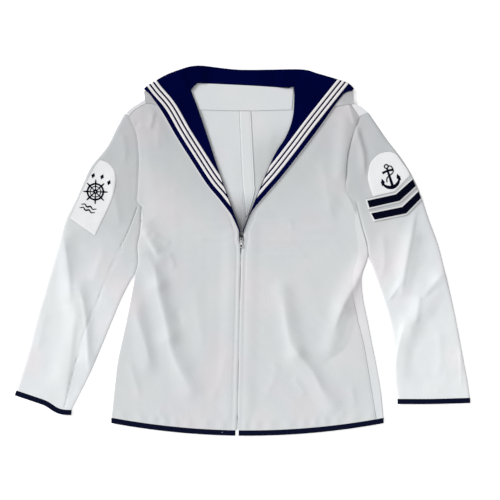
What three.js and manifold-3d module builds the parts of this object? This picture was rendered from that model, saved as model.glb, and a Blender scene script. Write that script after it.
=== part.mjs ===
// Sailor jumper laid flat, face up. Millimetres, +Z up, +Y toward the collar, origin under its middle.
// Left and right are as seen from above. Every cloth piece is a closed wall with its own thickness.
import * as THREE from 'three';
import { mergeVertices } from 'three/addons/utils/BufferGeometryUtils.js';
import Module from 'manifold-3d';

const wasm = await Module();
wasm.setup();

// Thicknesses and gaps
const WALL = 1.1;
const THIN = 1.0;
const SEAM = 0.3;
const LOOSE = 0.8;
const BINDING_WALL = 2.2;
const BINDING_WIDTH = 10;
const CUFF_WALL = 1.5;
const SLEEVE_HIGH = 3.0;
const SLIT = 0.7;
const EMBED = 0.04;
const NECK_INSET = 2.5;
const NECK_START = 0.02;
const SHORT_OF_ARM = 0.985;
const PIT_CLEAR = 1.5;
const EDGE_INSET = 2.5;
const LEG = 14;
const LEFT_TURN = 6;
const TUBE_ROUND = 1.5;
const HEM_SPLIT = 2.8;

// Collar and its tapes
const FLAP_BOTTOM = 87;
const TAPE_WIDTH = 5;
const TAPE_STARTS = [8.5, 16.5, 24.5];
const LINING_PROUD = 1.6;
const LINING_START = 0.1;
const LINING_END = 0.965;
const TAPE_TOP = 0.985;
const TAPE_CLEAR = 1.2;
const TAPE_ROWS = 11;

// Zip
const ZIP_TAPE_WIDTH = 12;
const CHAIN_WIDTH = 4;
const CHAIN_HIGH = 1.5;
const ZIP_BOX = { wide: 4.6, long: 8, above: 2 };
const ZIP_ROWS = 6;
const NOTCH = 4.8;
const NOTCH_ROWS = [10, 18, 29];
const SLIDER = { y: 24.5, wide: 8, long: 11, plate: 1.2, low: 1.4, apart: 1.6 };
const SLIDER_PLATE = { tail: 5.6, brow: 4, widest: 0.55 };
const POST = { wide: 4, long: 3.85, y: 2.75 };
const BRIDGE = { wide: 1.6, long: 7, bar: 1.1, clear: 1.9 };
const PULL = { wide: 5.4, thick: 1.3, neck: 4.4, body: 12.4, slot: 1.2 };
const PULL_RING = { radius: 3.7, waist: 2.3, drop: 3, hole: 1.9 };

// Levels above the ground, where the collar flap doesn't lie underneath
const FRONT_LEVEL = WALL + LOOSE;
const ZIP_RISE = WALL + SEAM + CHAIN_HIGH + SEAM - FRONT_LEVEL;
const HEM_RISE = BINDING_WALL + SEAM + (BINDING_WALL - WALL) / 2 - FRONT_LEVEL;

// Where those rises fade out. Each is the distance or place where the fading starts and where it ends
const ZIP_SIDE_FADE = [15, 40];
const ZIP_TOP_FADE = [24, 90];
const HEM_FADE = [14, 60];
const FOLD_FADE = [12, 40];
const FLAP_FADE = [8, 38];
const NECK_BAND_SIDE = [58, 78];
const NECK_BAND_LOW = [270, 290];

// Outlines. Columns: x, y
const COLLAR_FOLD = [[-187, 307], [-180, 314], [-168, 321], [-145, 334], [-119, 344], [-98, 350],
  [-73, 351], [-9, 344], [60, 344], [115, 344], [145, 336], [195, 321], [205, 315], [212, 307]];
const NECK_SEAM = [[-98, 304], [-86, 313], [-69, 318], [-24, 316], [33, 313], [86, 309], [94, 304]];
const LEFT_LAPEL_OUT = [[-6, 36], [-20, 66], [-43, 97], [-67, 126], [-97, 172], [-126, 218], [-152, 263],
  [-174, 294], [-187, 307]];
const LEFT_LAPEL_IN = [[-3, 35], [-46, 155], [-66, 216], [-85, 271], [-98, 304]];
const RIGHT_LAPEL_OUT = [[2, 36], [10, 58], [21, 79], [48, 111], [75, 142], [111, 188], [145, 233],
  [189, 294], [212, 307]];
const RIGHT_LAPEL_IN = [[-1, 35], [54, 168], [82, 216], [95, 252], [94, 304]];
const LEFT_SHOULDER_EDGE = [[-222, 261], [-211, 271], [-195, 281], [-185, 287], [-147, 306], [-102, 325]];
const LEFT_SHOULDER_SEAM = [[-214, 256], [-204, 267], [-183, 279], [-145, 294], [-103, 311]];
const RIGHT_SHOULDER_EDGE = [[238, 263], [224, 274], [214, 279], [166, 304], [100, 325]];
const RIGHT_SHOULDER_SEAM = [[221, 254], [210, 270], [198, 285], [157, 298], [99, 309]];
const LEFT_ARMHOLE = [[-191, 84], [-200, 94], [-199, 116], [-197, 173], [-200, 213], [-206, 235],
  [-214, 250], [-222, 261]];
const RIGHT_ARMHOLE = [[216, 90], [205, 101], [196, 119], [198, 174], [206, 211], [214, 233],
  [221, 252], [238, 263]];
const LEFT_SIDE = [[-249, -308], [-244, -268], [-238, -215], [-231, -181], [-221, -135], [-212, -90],
  [-204, -48], [-198, -22], [-199, 9], [-194, 36], [-191, 84]];
const RIGHT_SIDE = [[268, -308], [263, -268], [254, -215], [247, -181], [238, -135], [229, -90],
  [227, -50], [238, -14], [236, 14], [226, 49], [216, 90]];
const RIGHT_SIDE_SEAM = [[254, -308], [233, -192], [219, -131], [210, -84], [209, -46], [218, -10],
  [218, 20], [210, 52], [205, 84]];
const LEFT_SLEEVE_OUT = [[-429, -265], [-413, -215], [-400, -169], [-389, -124], [-375, -78], [-362, -33],
  [-349, 13], [-335, 59], [-318, 93], [-301, 131], [-286, 161], [-257, 197], [-240, 230], [-224, 260]];
const LEFT_SLEEVE_IN = [[-324, -302], [-286, -226], [-267, -181], [-248, -135], [-229, -90], [-212, -57],
  [-206, -45], [-200, -22], [-201, 9], [-196, 36], [-193, 84]];
const RIGHT_SLEEVE_OUT = [[432, -279], [426, -240], [415, -181], [404, -124], [394, -78], [383, -33],
  [371, 13], [354, 59], [339, 104], [324, 138], [303, 173], [269, 218], [239, 262]];
const RIGHT_SLEEVE_IN = [[294, -281], [287, -227], [285, -160], [273, -108], [255, -55], [245, -22],
  [240.5, -8], [238, 14], [228.5, 49], [219, 90]];
const LEFT_CUFF = [[-429, -265], [-396, -276], [-371, -285], [-352, -297], [-340, -301], [-324, -302]];
const RIGHT_CUFF = [[432, -279], [360, -281], [294, -281]];
const HEM = { left: -249, right: 269, middle: 10, low: -351, curve: 0.000358 };
const ZIP_LINE = [[-2.5, 24], [-10, -330]];
const ZIP_PLAIN_TOP = -6;
const BACK_SEAM_LOW_X = -5;
const BACK_SEAM_TOP = [3, 314];
const LEFT_BACK_NECK = [[-102, 322.5], [-86, 311.5], [-69, 316], [-24, 315]];
const RIGHT_BACK_NECK = [[100, 322.5], [87, 308], [70, 310], [33, 312]];
const FACING_LOW = [[-84, 268], [0, 266], [93, 268]];
const STRIP_LEFT = [[-7, 265], [-1, 134], [3, 96]];
const STRIP_RIGHT = [[15, 265], [22, 134], [22, 106]];
const FLAP_LEFT = [[-187, 307], [-150, FLAP_BOTTOM]];
const FLAP_RIGHT = [[212, 307], [155, FLAP_BOTTOM]];
const LEFT_BADGE_IN = [[-280, 29], [-250, 93], [-241, 128], [-243, 152], [-254, 166], [-262, 170]];
const LEFT_BADGE_OUT = [[-327, 62], [-313, 92], [-296, 129], [-281, 158], [-270, 172]];
const RIGHT_BADGE_IN = [[248, 103], [241, 124], [238, 142], [243, 166], [257, 182], [270, 187]];
const RIGHT_BADGE_OUT = [[318, 143], [312, 155], [304, 166], [292, 182], [280, 188]];
const CHEVRONS = {
  upper: { top: [[239, 96], [292, 107], [320, 132]], low: [[242, 83], [298, 95], [325, 119]] },
  lower: { top: [[245, 71], [304, 82], [331, 107]], low: [[251, 59], [310, 71], [337, 94]] },
};
const CHEVRON_EDGE = 2.8;

// Main folds of each panel. Columns: from x, from y, to x, to y, height, half width
const LEFT_FRONT_FOLDS = [
  [-186, 46, -155, -12, 3.5, 15],
  [-190, -8, -160, -60, 4.0, 17],
  [-160, -70, -138, -160, 4.5, 18],
  [-138, -170, -98, -262, 3.5, 18],
  [-200, -110, -180, -215, 3.0, 16],
];
const RIGHT_FRONT_FOLDS = [
  [228, -25, 190, -105, 4.5, 17],
  [190, -112, 168, -180, 3.5, 17],
  [76, -75, 102, -192, 3.5, 17],
  [104, -200, 168, -290, 3.5, 18],
  [196, 250, 186, 150, 2.5, 14],
];
const LEFT_SLEEVE_FOLDS = [
  [-336, 20, -326, -104, 3.5, 17],
  [-308, -70, -296, -200, 3.5, 16],
  [-318, -120, -344, -240, 3.0, 17],
];
const RIGHT_SLEEVE_FOLDS = [
  [321, 22, 306, -70, 4.0, 17],
  [338, -70, 322, -150, 3.0, 16],
  [312, -140, 300, -230, 3.0, 16],
  [376, -50, 350, -110, 2.5, 16],
];

// How many grid lines each piece has
const FRONT_COLUMNS = 13;
const SIDE_ROWS = 15;
const PLAIN_ZIP_ROWS = 11;
const ARM_ROWS = 9;
const SHOULDER_ROWS = 6;
const BACK_NECK_ROWS = 5;
const TURN_STEPS = 5;
const SLEEVE_ROWS = 19;
const LAPEL_ROWS = 13;
const NECK_ROWS = 14;
const COLLAR_COLUMNS = 6;
const STRIP_ROWS = 5;
const BADGE_ROWS = 9;
const BADGE_COLUMNS = 5;
const FINE_ROWS = 120;
const CURVE_DIVISIONS = 400;

const CLOTH = { color: 0xe6e6ea, roughness: 0.9 };
const NAVY = { color: 0x070d3a, roughness: 0.88 };
const DARK_NAVY = { color: 0x060815, roughness: 0.9 };
const TAPE_WHITE = { color: 0xe9e7e4, roughness: 0.85 };
const ZIP_CLOTH = { color: 0xdfe0e4, roughness: 0.9 };
const METAL = { color: 0xc9c9cc, roughness: 0.3, metalness: 0.9 };

const jumper = new THREE.Group();

// Places one finished solid in the jumper as a named mesh.
function piece(name, geometry, look) {
  const mesh = new THREE.Mesh(geometry, new THREE.MeshStandardMaterial(look));
  mesh.name = name;
  jumper.add(mesh);
}

// Points and curves in the plane
const point = (x, y) => ({ x, y });
const last = (list) => list[list.length - 1];
const mix = (a, b, t) => a + (b - a) * t;
const between = (a, b, t) => point(mix(a.x, b.x, t), mix(a.y, b.y, t));
const toward = (a, b, distance) => between(a, b, distance / Math.hypot(b.x - a.x, b.y - a.y));
const smooth = (low, high, value) => THREE.MathUtils.smoothstep(value, low, high);
const reversed = (list) => [...list].reverse();

// Evenly spaced points along a smooth curve through the rows of an outline.
function along(rows, count, from = 0, to = 1) {
  const curve = new THREE.SplineCurve(rows.map(([x, y]) => new THREE.Vector2(x, y)));
  curve.arcLengthDivisions = CURVE_DIVISIONS;
  return Array.from({ length: count }, (_, i) => {
    const at = curve.getPointAt(mix(from, to, i / (count - 1)));
    return point(at.x, at.y);
  });
}

// Moves each point of a path sideways, to the left of its direction.
function offset(path, distance) {
  return path.map((here, i) => {
    const before = path[Math.max(i - 1, 0)];
    const after = path[Math.min(i + 1, path.length - 1)];
    const length = Math.hypot(after.x - before.x, after.y - before.y);
    const across = point(-(after.y - before.y) / length, (after.x - before.x) / length);
    return point(here.x + across.x * distance, here.y + across.y * distance);
  });
}

// Two stretches of an edge that meet in a corner.
const joined = (first, second) => [...first, ...second.slice(1)];

// Fills the space between four edges with rows of points. Rows run from bottom to top.
function patch(left, right, bottom, top) {
  return left.map((start, i) => bottom.map((_, j) => {
    const u = j / (bottom.length - 1);
    const v = i / (left.length - 1);
    const blend = (k) => (1 - u) * start[k] + u * right[i][k] + (1 - v) * bottom[j][k] + v * top[j][k]
      - (1 - u) * (1 - v) * bottom[0][k] - u * (1 - v) * bottom.at(-1)[k]
      - (1 - u) * v * top[0][k] - u * v * top.at(-1)[k];
    return point(blend('x'), blend('y'));
  }));
}

// The points halfway between two paths.
const halfway = (a, b) => a.map((p, i) => between(p, b[i], 0.5));

// Closes two grids of space points, an outer and an inner one, into one wall.
function wall(outer, inner, ring = false) {
  const rows = outer.length;
  const columns = outer[0].length;
  const places = [...outer.flat(), ...inner.flat()].flatMap((p) => [p.x, p.y, p.z]);
  const faces = [];
  const out = (i, j) => i * columns + (j % columns);
  const inn = (i, j) => rows * columns + out(i, j);
  const quad = (a, b, c, d) => faces.push(a, b, c, a, c, d);
  const across = ring ? columns : columns - 1;
  for (let i = 0; i < rows - 1; i += 1) {
    for (let j = 0; j < across; j += 1) {
      quad(out(i, j), out(i, j + 1), out(i + 1, j + 1), out(i + 1, j));
      quad(inn(i, j), inn(i + 1, j), inn(i + 1, j + 1), inn(i, j + 1));
    }
  }
  for (let j = 0; j < across; j += 1) {
    quad(out(0, j), inn(0, j), inn(0, j + 1), out(0, j + 1));
    quad(out(rows - 1, j), out(rows - 1, j + 1), inn(rows - 1, j + 1), inn(rows - 1, j));
  }
  for (let i = 0; !ring && i < rows - 1; i += 1) {
    quad(out(i, 0), out(i + 1, 0), inn(i + 1, 0), inn(i, 0));
    quad(out(i, columns - 1), inn(i, columns - 1), inn(i + 1, columns - 1), out(i + 1, columns - 1));
  }
  const geometry = new THREE.BufferGeometry();
  geometry.setAttribute('position', new THREE.Float32BufferAttribute(places, 3));
  geometry.setIndex(faces);
  return outward(geometry);
}

// Turns a closed geometry's faces to point outward.
function outward(geometry) {
  const place = geometry.attributes.position;
  const index = geometry.index.array;
  const [a, b, c] = [new THREE.Vector3(), new THREE.Vector3(), new THREE.Vector3()];
  let volume = 0;
  for (let i = 0; i < index.length; i += 3) {
    a.fromBufferAttribute(place, index[i]);
    b.fromBufferAttribute(place, index[i + 1]);
    c.fromBufferAttribute(place, index[i + 2]);
    volume += a.dot(b.cross(c));
  }
  if (volume < 0) {
    for (let i = 0; i < index.length; i += 3) {
      [index[i + 1], index[i + 2]] = [index[i + 2], index[i + 1]];
    }
  }
  return geometry;
}

// A sheet of cloth on a grid of plane points, from its underside level up by its thickness.
function sheet(grid, under, thick) {
  const lift = (level) => grid.map((row) => row.map((p) => new THREE.Vector3(p.x, p.y, level(p))));
  return wall(lift((p) => under(p) + thick), lift(under));
}

// An upright prism on a plane outline, from one level to another.
function prism(shape, from, to) {
  const depth = to - from;
  const geometry = new THREE.ExtrudeGeometry(shape, { depth, bevelEnabled: false, curveSegments: 8 });
  geometry.translate(0, 0, from);
  return geometry;
}

const toManifold = (geometry) => {
  const bare = geometry.clone();
  bare.deleteAttribute('normal');
  bare.deleteAttribute('uv');
  const merged = mergeVertices(bare, 1e-4);
  const vertProperties = new Float32Array(merged.attributes.position.array);
  const triVerts = new Uint32Array(merged.index.array);
  return new wasm.Manifold(new wasm.Mesh({ numProp: 3, vertProperties, triVerts }));
};

const fromManifold = (solid) => {
  const { vertProperties, triVerts } = solid.getMesh();
  const geometry = new THREE.BufferGeometry();
  geometry.setAttribute('position', new THREE.BufferAttribute(vertProperties, 3));
  geometry.setIndex(new THREE.BufferAttribute(triVerts, 1));
  return geometry;
};

// Joins closed geometries that overlap into one body, without the small hollows inside it.
function fused(...geometries) {
  const whole = geometries.map(toManifold).reduce((sum, next) => sum.add(next));
  const largest = (a, b) => (b.volume() > a.volume() ? b : a);
  return fromManifold(whole.decompose().reduce(largest));
}

// Levels of the cloth

// How much of a fold's height reaches a place.
function foldHeight(folds, p) {
  return folds.reduce((sum, [x1, y1, x2, y2, height, half]) => {
    const length = Math.hypot(x2 - x1, y2 - y1);
    const run = ((p.x - x1) * (x2 - x1) + (p.y - y1) * (y2 - y1)) / length;
    const side = ((p.x - x1) * (y2 - y1) - (p.y - y1) * (x2 - x1)) / length;
    const beyond = Math.max(-run, run - length, 0);
    return sum + height * Math.exp(-((side / half) ** 2) - (beyond / half) ** 2);
  }, 0);
}

// Where a straight edge stands at a given y.
const edgeAt = ([[x1, y1], [x2, y2]], y) => mix(x1, x2, (y - y1) / (y2 - y1));
const zipX = (y) => edgeAt(ZIP_LINE, y);
const hemY = (x) => HEM.low + HEM.curve * (x - HEM.middle) ** 2;

// The back panels rise over the collar flap that lies under them.
function flapRise(p) {
  const beyond = Math.max(edgeAt(FLAP_LEFT, p.y) - p.x, p.x - edgeAt(FLAP_RIGHT, p.y), FLAP_BOTTOM - p.y);
  return (WALL + SEAM) * (1 - smooth(...FLAP_FADE, beyond));
}

// The fronts rise over the zip and toward the folded binding at the hem.
const zipRise = (p) => ZIP_RISE * (1 - smooth(...ZIP_SIDE_FADE, Math.abs(p.x - zipX(p.y))))
  * (1 - smooth(...ZIP_TOP_FADE, p.y));
const hemRise = (p) => HEM_RISE * (1 - smooth(...HEM_FADE, p.y - hemY(p.x)));
const hemCalm = (p) => smooth(...FOLD_FADE, p.y - hemY(p.x));

const backUnder = (p) => flapRise(p);
const backOver = (p) => flapRise(p) + WALL;
const frontUnder = (folds) => (p) => backOver(p) + LOOSE + Math.max(zipRise(p), hemRise(p))
  + foldHeight(folds, p) * hemCalm(p);
const plainFrontOver = (p) => backOver(p) + LOOSE + zipRise(p) + WALL;
const liningUnder = (p) => plainFrontOver(p) + SEAM;

// The collar lies on its flap at the back of the neck, and on the fronts' lining along the lapels.
function collarUnder(p) {
  const onFronts = Math.max(smooth(...NECK_BAND_SIDE, Math.abs(p.x)), 1 - smooth(...NECK_BAND_LOW, p.y));
  return mix(WALL + SEAM, liningUnder(p) + THIN + SEAM, onFronts);
}
const tapeUnder = (p) => collarUnder(p) + WALL + SEAM;

// Cloth that turns over an edge: a leg below, the round of the edge, and a leg above.
// The path runs with the cloth on its left, and each leg ends at its own row of points.
function turnedEdge(path, lowEnds, topEnds, low, high) {
  const inward = offset(path, 1);
  const section = (inner) => path.map((here, i) => {
    const nx = inward[i].x - here.x;
    const ny = inward[i].y - here.y;
    const bottom = low(here) + (inner ? WALL - EMBED : EMBED);
    const top = high(here) + (inner ? EMBED : WALL - EMBED);
    const centre = (high(here) + WALL - low(here)) / 2;
    const reach = inner ? centre - WALL : centre;
    const arc = Array.from({ length: TURN_STEPS + 1 }, (_, k) => {
      const angle = Math.PI * (k / TURN_STEPS - 0.5);
      const away = centre - Math.cos(angle) * reach;
      const z = (top + bottom) / 2 + Math.sin(angle) * (top - bottom) / 2;
      return new THREE.Vector3(here.x + nx * away, here.y + ny * away, z);
    });
    const lowZ = low(lowEnds[i]) + (inner ? WALL - EMBED : EMBED);
    const topZ = high(topEnds[i]) + (inner ? EMBED : WALL - EMBED);
    return [new THREE.Vector3(lowEnds[i].x, lowEnds[i].y, lowZ), ...arc,
      new THREE.Vector3(topEnds[i].x, topEnds[i].y, topZ)];
  });
  return wall(section(false), section(true));
}

// Body edges, sampled once so that pieces that meet share their points
const leftArm = along([...LEFT_ARMHOLE.slice(0, -1), LEFT_SHOULDER_SEAM[0]], ARM_ROWS);
const rightArm = along([...RIGHT_ARMHOLE.slice(0, -2), RIGHT_SHOULDER_SEAM[0]], ARM_ROWS);
const neckEdge = (lapel, hand) => offset(along(lapel, ARM_ROWS, NECK_START), hand * -NECK_INSET);
const shoulderSeam = (rows, neck) => along([...rows.slice(0, -1), [neck.x, neck.y]], FRONT_COLUMNS);
const leftShoulderSeam = shoulderSeam(LEFT_SHOULDER_SEAM, last(neckEdge(LEFT_LAPEL_IN, -1)));
const rightShoulderSeam = shoulderSeam(RIGHT_SHOULDER_SEAM, last(neckEdge(RIGHT_LAPEL_IN, 1)));
const leftArmEnd = point(...LEFT_SHOULDER_EDGE[0]);
const rightArmEnd = point(...RIGHT_SHOULDER_EDGE[0]);
const steps = (from, to, count) => Array.from({ length: count }, (_, i) => mix(from, to, i / (count - 1)));
const hemLine = (from, to, count, above) => steps(from, to, count).map((x) => point(x, hemY(x) + above));
const zipAtHem = zipX(HEM.low + BINDING_WIDTH);
const HEM_TOP = BINDING_WIDTH + SEAM;
const fromHem = ([[x], ...rest]) => [[x, hemY(x) + HEM_TOP], ...rest];

// Back panels
function backPanels() {
  const leftSide = offset(along(fromHem(LEFT_SIDE), SIDE_ROWS), -LEFT_TURN - 2 * SEAM);
  const rightSide = offset(along(fromHem(RIGHT_SIDE), SIDE_ROWS), EDGE_INSET);
  const leftEdge = [...leftSide.slice(0, -1), ...leftArm, leftArmEnd];
  const rightEdge = [...rightSide.slice(0, -1), ...rightArm, rightArmEnd];
  const rows = leftEdge.length;
  const middle = (shift) => along([
    [BACK_SEAM_LOW_X + shift, hemY(BACK_SEAM_LOW_X) + HEM_TOP],
    [BACK_SEAM_TOP[0] + shift, BACK_SEAM_TOP[1]],
  ], rows);
  const inset = ([start, ...rest]) => [start, ...rest.map(([x, y]) => [x, y - EDGE_INSET])];
  const top = (shoulder, neck, shift) => joined(along(inset(shoulder), SHOULDER_ROWS),
    along([...neck, [BACK_SEAM_TOP[0] + shift, BACK_SEAM_TOP[1]]], BACK_NECK_ROWS));
  const leftTop = top(LEFT_SHOULDER_EDGE, LEFT_BACK_NECK, -SEAM / 2);
  const rightTop = top(RIGHT_SHOULDER_EDGE, RIGHT_BACK_NECK, SEAM / 2);
  const left = patch(leftEdge, middle(-SEAM / 2),
    hemLine(leftEdge[0].x, BACK_SEAM_LOW_X - SEAM / 2, leftTop.length, HEM_TOP), leftTop);
  const right = patch(middle(SEAM / 2), rightEdge,
    hemLine(BACK_SEAM_LOW_X + SEAM / 2, rightEdge[0].x, rightTop.length, HEM_TOP), reversed(rightTop));
  const leftShoulder = along(reversed(LEFT_SHOULDER_EDGE), FRONT_COLUMNS, 0, SHORT_OF_ARM);
  const rightShoulder = reversed(along(reversed(RIGHT_SHOULDER_EDGE), FRONT_COLUMNS, 0, SHORT_OF_ARM));
  const clear = (seam) => [toward(seam[0], seam[1], 1), ...seam.slice(1)];
  const leftSeam = reversed(clear(offset(leftShoulderSeam, 2 * SEAM)));
  const rightSeam = clear(offset(rightShoulderSeam, -2 * SEAM));
  const side = along(fromHem(RIGHT_SIDE), SIDE_ROWS).slice(0, -1);
  const sideSeam = offset(along(fromHem(RIGHT_SIDE_SEAM), SIDE_ROWS), -SEAM).slice(0, -1);
  const level = frontUnder([]);
  return {
    left: fused(
      sheet(left, backUnder, WALL),
      turnedEdge(leftShoulder, leftSeam, leftSeam, backUnder, level),
    ),
    right: fused(
      sheet(right, backUnder, WALL),
      turnedEdge(rightShoulder, rightSeam, rightSeam, backUnder, level),
      turnedEdge(side, offset(side, LEG), sideSeam, backUnder, frontUnder(RIGHT_FRONT_FOLDS)),
    ),
  };
}
const back = backPanels();
piece('back_left', back.left, CLOTH);
piece('back_right', back.right, CLOTH);

// Fronts
function frontPanels() {
  const edge = (side, arm) => joined(along(fromHem(side), SIDE_ROWS), arm);
  const zipEdge = (hand, lapel) => {
    const open = (y) => point(zipX(y) + hand * (y > NOTCH_ROWS[0] + 1 ? NOTCH : SLIT), y);
    const plain = steps(hemY(zipAtHem) + HEM_TOP, ZIP_PLAIN_TOP, PLAIN_ZIP_ROWS);
    return [...plain, ...NOTCH_ROWS].map(open).concat(neckEdge(lapel, hand));
  };
  const leftZip = zipEdge(-1, LEFT_LAPEL_IN);
  const rightZip = zipEdge(1, RIGHT_LAPEL_IN);
  const leftEdge = edge(LEFT_SIDE, leftArm);
  const seam = offset(along(fromHem(RIGHT_SIDE_SEAM), SIDE_ROWS), SEAM);
  const rightEdge = [...seam.slice(0, -1), ...rightArm];
  const left = patch(leftEdge, leftZip, hemLine(leftEdge[0].x, leftZip[0].x, FRONT_COLUMNS, HEM_TOP),
    leftShoulderSeam);
  const right = patch(rightZip, rightEdge, hemLine(rightZip[0].x, rightEdge[0].x, FRONT_COLUMNS, HEM_TOP),
    reversed(rightShoulderSeam));
  const turn = along(fromHem(LEFT_SIDE), SIDE_ROWS).slice(0, -1);
  const over = frontUnder(LEFT_FRONT_FOLDS);
  const side = turnedEdge(reversed(turn), offset(reversed(turn), LEFT_TURN), offset(reversed(turn), LEG),
    backUnder, over);
  const shrunk = left.map((row, i) => (i < SIDE_ROWS - 1
    ? [toward(row[0], row[1], EDGE_INSET), ...row.slice(1)]
    : row));
  return {
    left: fused(sheet(shrunk, over, WALL), side),
    right: sheet(right, frontUnder(RIGHT_FRONT_FOLDS), WALL),
  };
}
const fronts = frontPanels();
piece('front_left', fronts.left, CLOTH);
piece('front_right', fronts.right, CLOTH);

// Sleeves and cuff bindings: flattened tubes, round at both long edges
function tube(grid, over, thick) {
  const ring = (row, inset) => {
    const atStart = (away) => toward(row[0], row[1], away);
    const atEnd = (away) => toward(last(row), row[row.length - 2], away);
    const flat = [atStart(TUBE_ROUND + inset / 5), ...row.slice(1, -1), atEnd(TUBE_ROUND + inset / 5)];
    const place = (p, z) => new THREE.Vector3(p.x, p.y, z);
    const low = flat.map((p) => place(p, inset));
    const top = flat.map((p) => place(p, over(p) - inset));
    const startEdge = place(atStart(inset), over(row[0]) / 2);
    const endEdge = place(atEnd(inset), over(last(row)) / 2);
    return [startEdge, ...low, endEdge, ...reversed(top)];
  };
  return wall(grid.map((row) => ring(row, 0)), grid.map((row) => ring(row, thick)), true);
}
const sleeveOver = (folds) => (p) => SLEEVE_HIGH + foldHeight(folds, p);

// The part of the body that a sleeve has to stay clear of, from the side below the armpit to the shoulder.
function bodyBeside(side, arm, hand) {
  const edge = [...offset(along(side, SIDE_ROWS), -hand * 3 * SEAM).slice(0, -1), ...arm.slice(0, -1)];
  const shape = new THREE.Shape(edge.map((p) => new THREE.Vector2(p.x, p.y)));
  shape.lineTo(0, last(edge).y);
  shape.lineTo(0, edge[0].y);
  shape.closePath();
  return prism(shape, -WALL, 4 * SLEEVE_HIGH);
}

function sleeve(arm, outEdge, inEdge, cuff, folds, body) {
  const low = along(cuff, arm.length);
  const outer = [low[0], ...along(outEdge, SLEEVE_ROWS).slice(1, -1), arm[0]];
  const inner = [last(low), ...along(inEdge, SLEEVE_ROWS).slice(1, -1), last(arm)];
  const grid = patch(outer, inner, low, arm);
  return fromManifold(toManifold(tube(grid, sleeveOver(folds), WALL)).subtract(toManifold(body)));
}
function sleeveTop(arm, end, hand) {
  const row = offset([end, ...reversed(arm)], hand * SEAM);
  const pit = row.pop();
  return [...row, point(pit.x + hand * PIT_CLEAR, pit.y - PIT_CLEAR)];
}
const leftSleeveTop = sleeveTop(leftArm, leftArmEnd, -1);
const rightSleeveTop = sleeveTop(rightArm, rightArmEnd, 1);
const leftBody = bodyBeside(LEFT_SIDE, offset(leftArm, SEAM), -1);
const rightBody = bodyBeside(RIGHT_SIDE, offset(rightArm, -SEAM), 1);
piece('sleeve_left',
  sleeve(leftSleeveTop, LEFT_SLEEVE_OUT, LEFT_SLEEVE_IN, LEFT_CUFF, LEFT_SLEEVE_FOLDS, leftBody),
  CLOTH);
piece('sleeve_right',
  sleeve(rightSleeveTop, RIGHT_SLEEVE_OUT, RIGHT_SLEEVE_IN, RIGHT_CUFF, RIGHT_SLEEVE_FOLDS, rightBody),
  CLOTH);

// Bindings: folded bands in line with the cloth they finish
const band = (low, top, under, thick) => sheet([low, top], under, thick);
const frontBindingUnder = () => BINDING_WALL + SEAM;
const hemEnds = {
  left: [HEM.left, zipAtHem - HEM_SPLIT],
  right: [zipAtHem + HEM_SPLIT, HEM.right - 1],
};
for (const [side, [from, to]] of Object.entries(hemEnds)) {
  piece(`hem_binding_front_${side}`, band(hemLine(from, to, FRONT_COLUMNS, 0),
    hemLine(from, to, FRONT_COLUMNS, BINDING_WIDTH), frontBindingUnder, BINDING_WALL), DARK_NAVY);
}
const backBindingEnds = [HEM.left + EDGE_INSET, HEM.right - EDGE_INSET];
piece('hem_binding_back', band(hemLine(...backBindingEnds, 2 * FRONT_COLUMNS, 0),
  hemLine(...backBindingEnds, 2 * FRONT_COLUMNS, BINDING_WIDTH), () => 0, BINDING_WALL), DARK_NAVY);

function cuffBinding(cuff, folds, columns, hand) {
  const top = offset(along(cuff, columns), hand * SEAM);
  const middle = offset(top, hand * BINDING_WIDTH / 2);
  const low = offset(top, hand * BINDING_WIDTH);
  return tube([low, middle, top], (p) => sleeveOver(folds)(p) + 2 * (CUFF_WALL - WALL), CUFF_WALL);
}
const cuffColumns = leftSleeveTop.length;
piece('cuff_binding_left', cuffBinding(LEFT_CUFF, LEFT_SLEEVE_FOLDS, cuffColumns, -1), DARK_NAVY);
piece('cuff_binding_right', cuffBinding(RIGHT_CUFF, RIGHT_SLEEVE_FOLDS, cuffColumns, 1), DARK_NAVY);

// Inside of the back neck: the facing and the strip over the centre-back seam
const inside = (p) => backOver(p) + SEAM;
const neckSeam = along(NECK_SEAM, NECK_ROWS);
const facingTop = offset(neckSeam, -2 * SEAM);
const facingLow = along(FACING_LOW, NECK_ROWS);
const stripRight = along(STRIP_RIGHT, STRIP_ROWS);
piece('back_neck_facing', sheet([facingLow, halfway(facingLow, facingTop), facingTop], inside, THIN), CLOTH);
const stripGrid = along(STRIP_LEFT, STRIP_ROWS).map((p, i) => [p, stripRight[i]]);
piece('back_centre_strip', sheet(stripGrid, inside, THIN), CLOTH);

// Collar: lapels and neck band above, the turn at the top, and the flap that lies under the back
function collar() {
  const fold = along(COLLAR_FOLD, NECK_ROWS);
  const foldInset = [fold[0], ...offset(fold, -EDGE_INSET).slice(1, -1), last(fold)];
  const roundNeck = (left, middle, right) => joined(joined(along(left, LAPEL_ROWS), middle),
    along(reversed(right), LAPEL_ROWS));
  const outer = roundNeck(LEFT_LAPEL_OUT, foldInset, RIGHT_LAPEL_OUT);
  const inner = roundNeck(LEFT_LAPEL_IN, offset(neckSeam, SEAM), RIGHT_LAPEL_IN);
  const grid = inner.map((p, i) => steps(0, 1, COLLAR_COLUMNS).map((t) => between(p, outer[i], t)));
  const turn = reversed(along(COLLAR_FOLD, 2 * NECK_ROWS - 1));
  const flapTop = offset(fold, -EDGE_INSET);
  const flapLow = along([FLAP_LEFT[1], FLAP_RIGHT[1]], NECK_ROWS);
  const leg = offset(turn, LEG);
  return fused(
    sheet(grid, collarUnder, WALL),
    turnedEdge(turn, leg, leg, () => 0, collarUnder),
    sheet([flapLow, halfway(flapLow, flapTop), flapTop], () => 0, WALL),
  );
}
piece('collar', collar(), NAVY);

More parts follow.
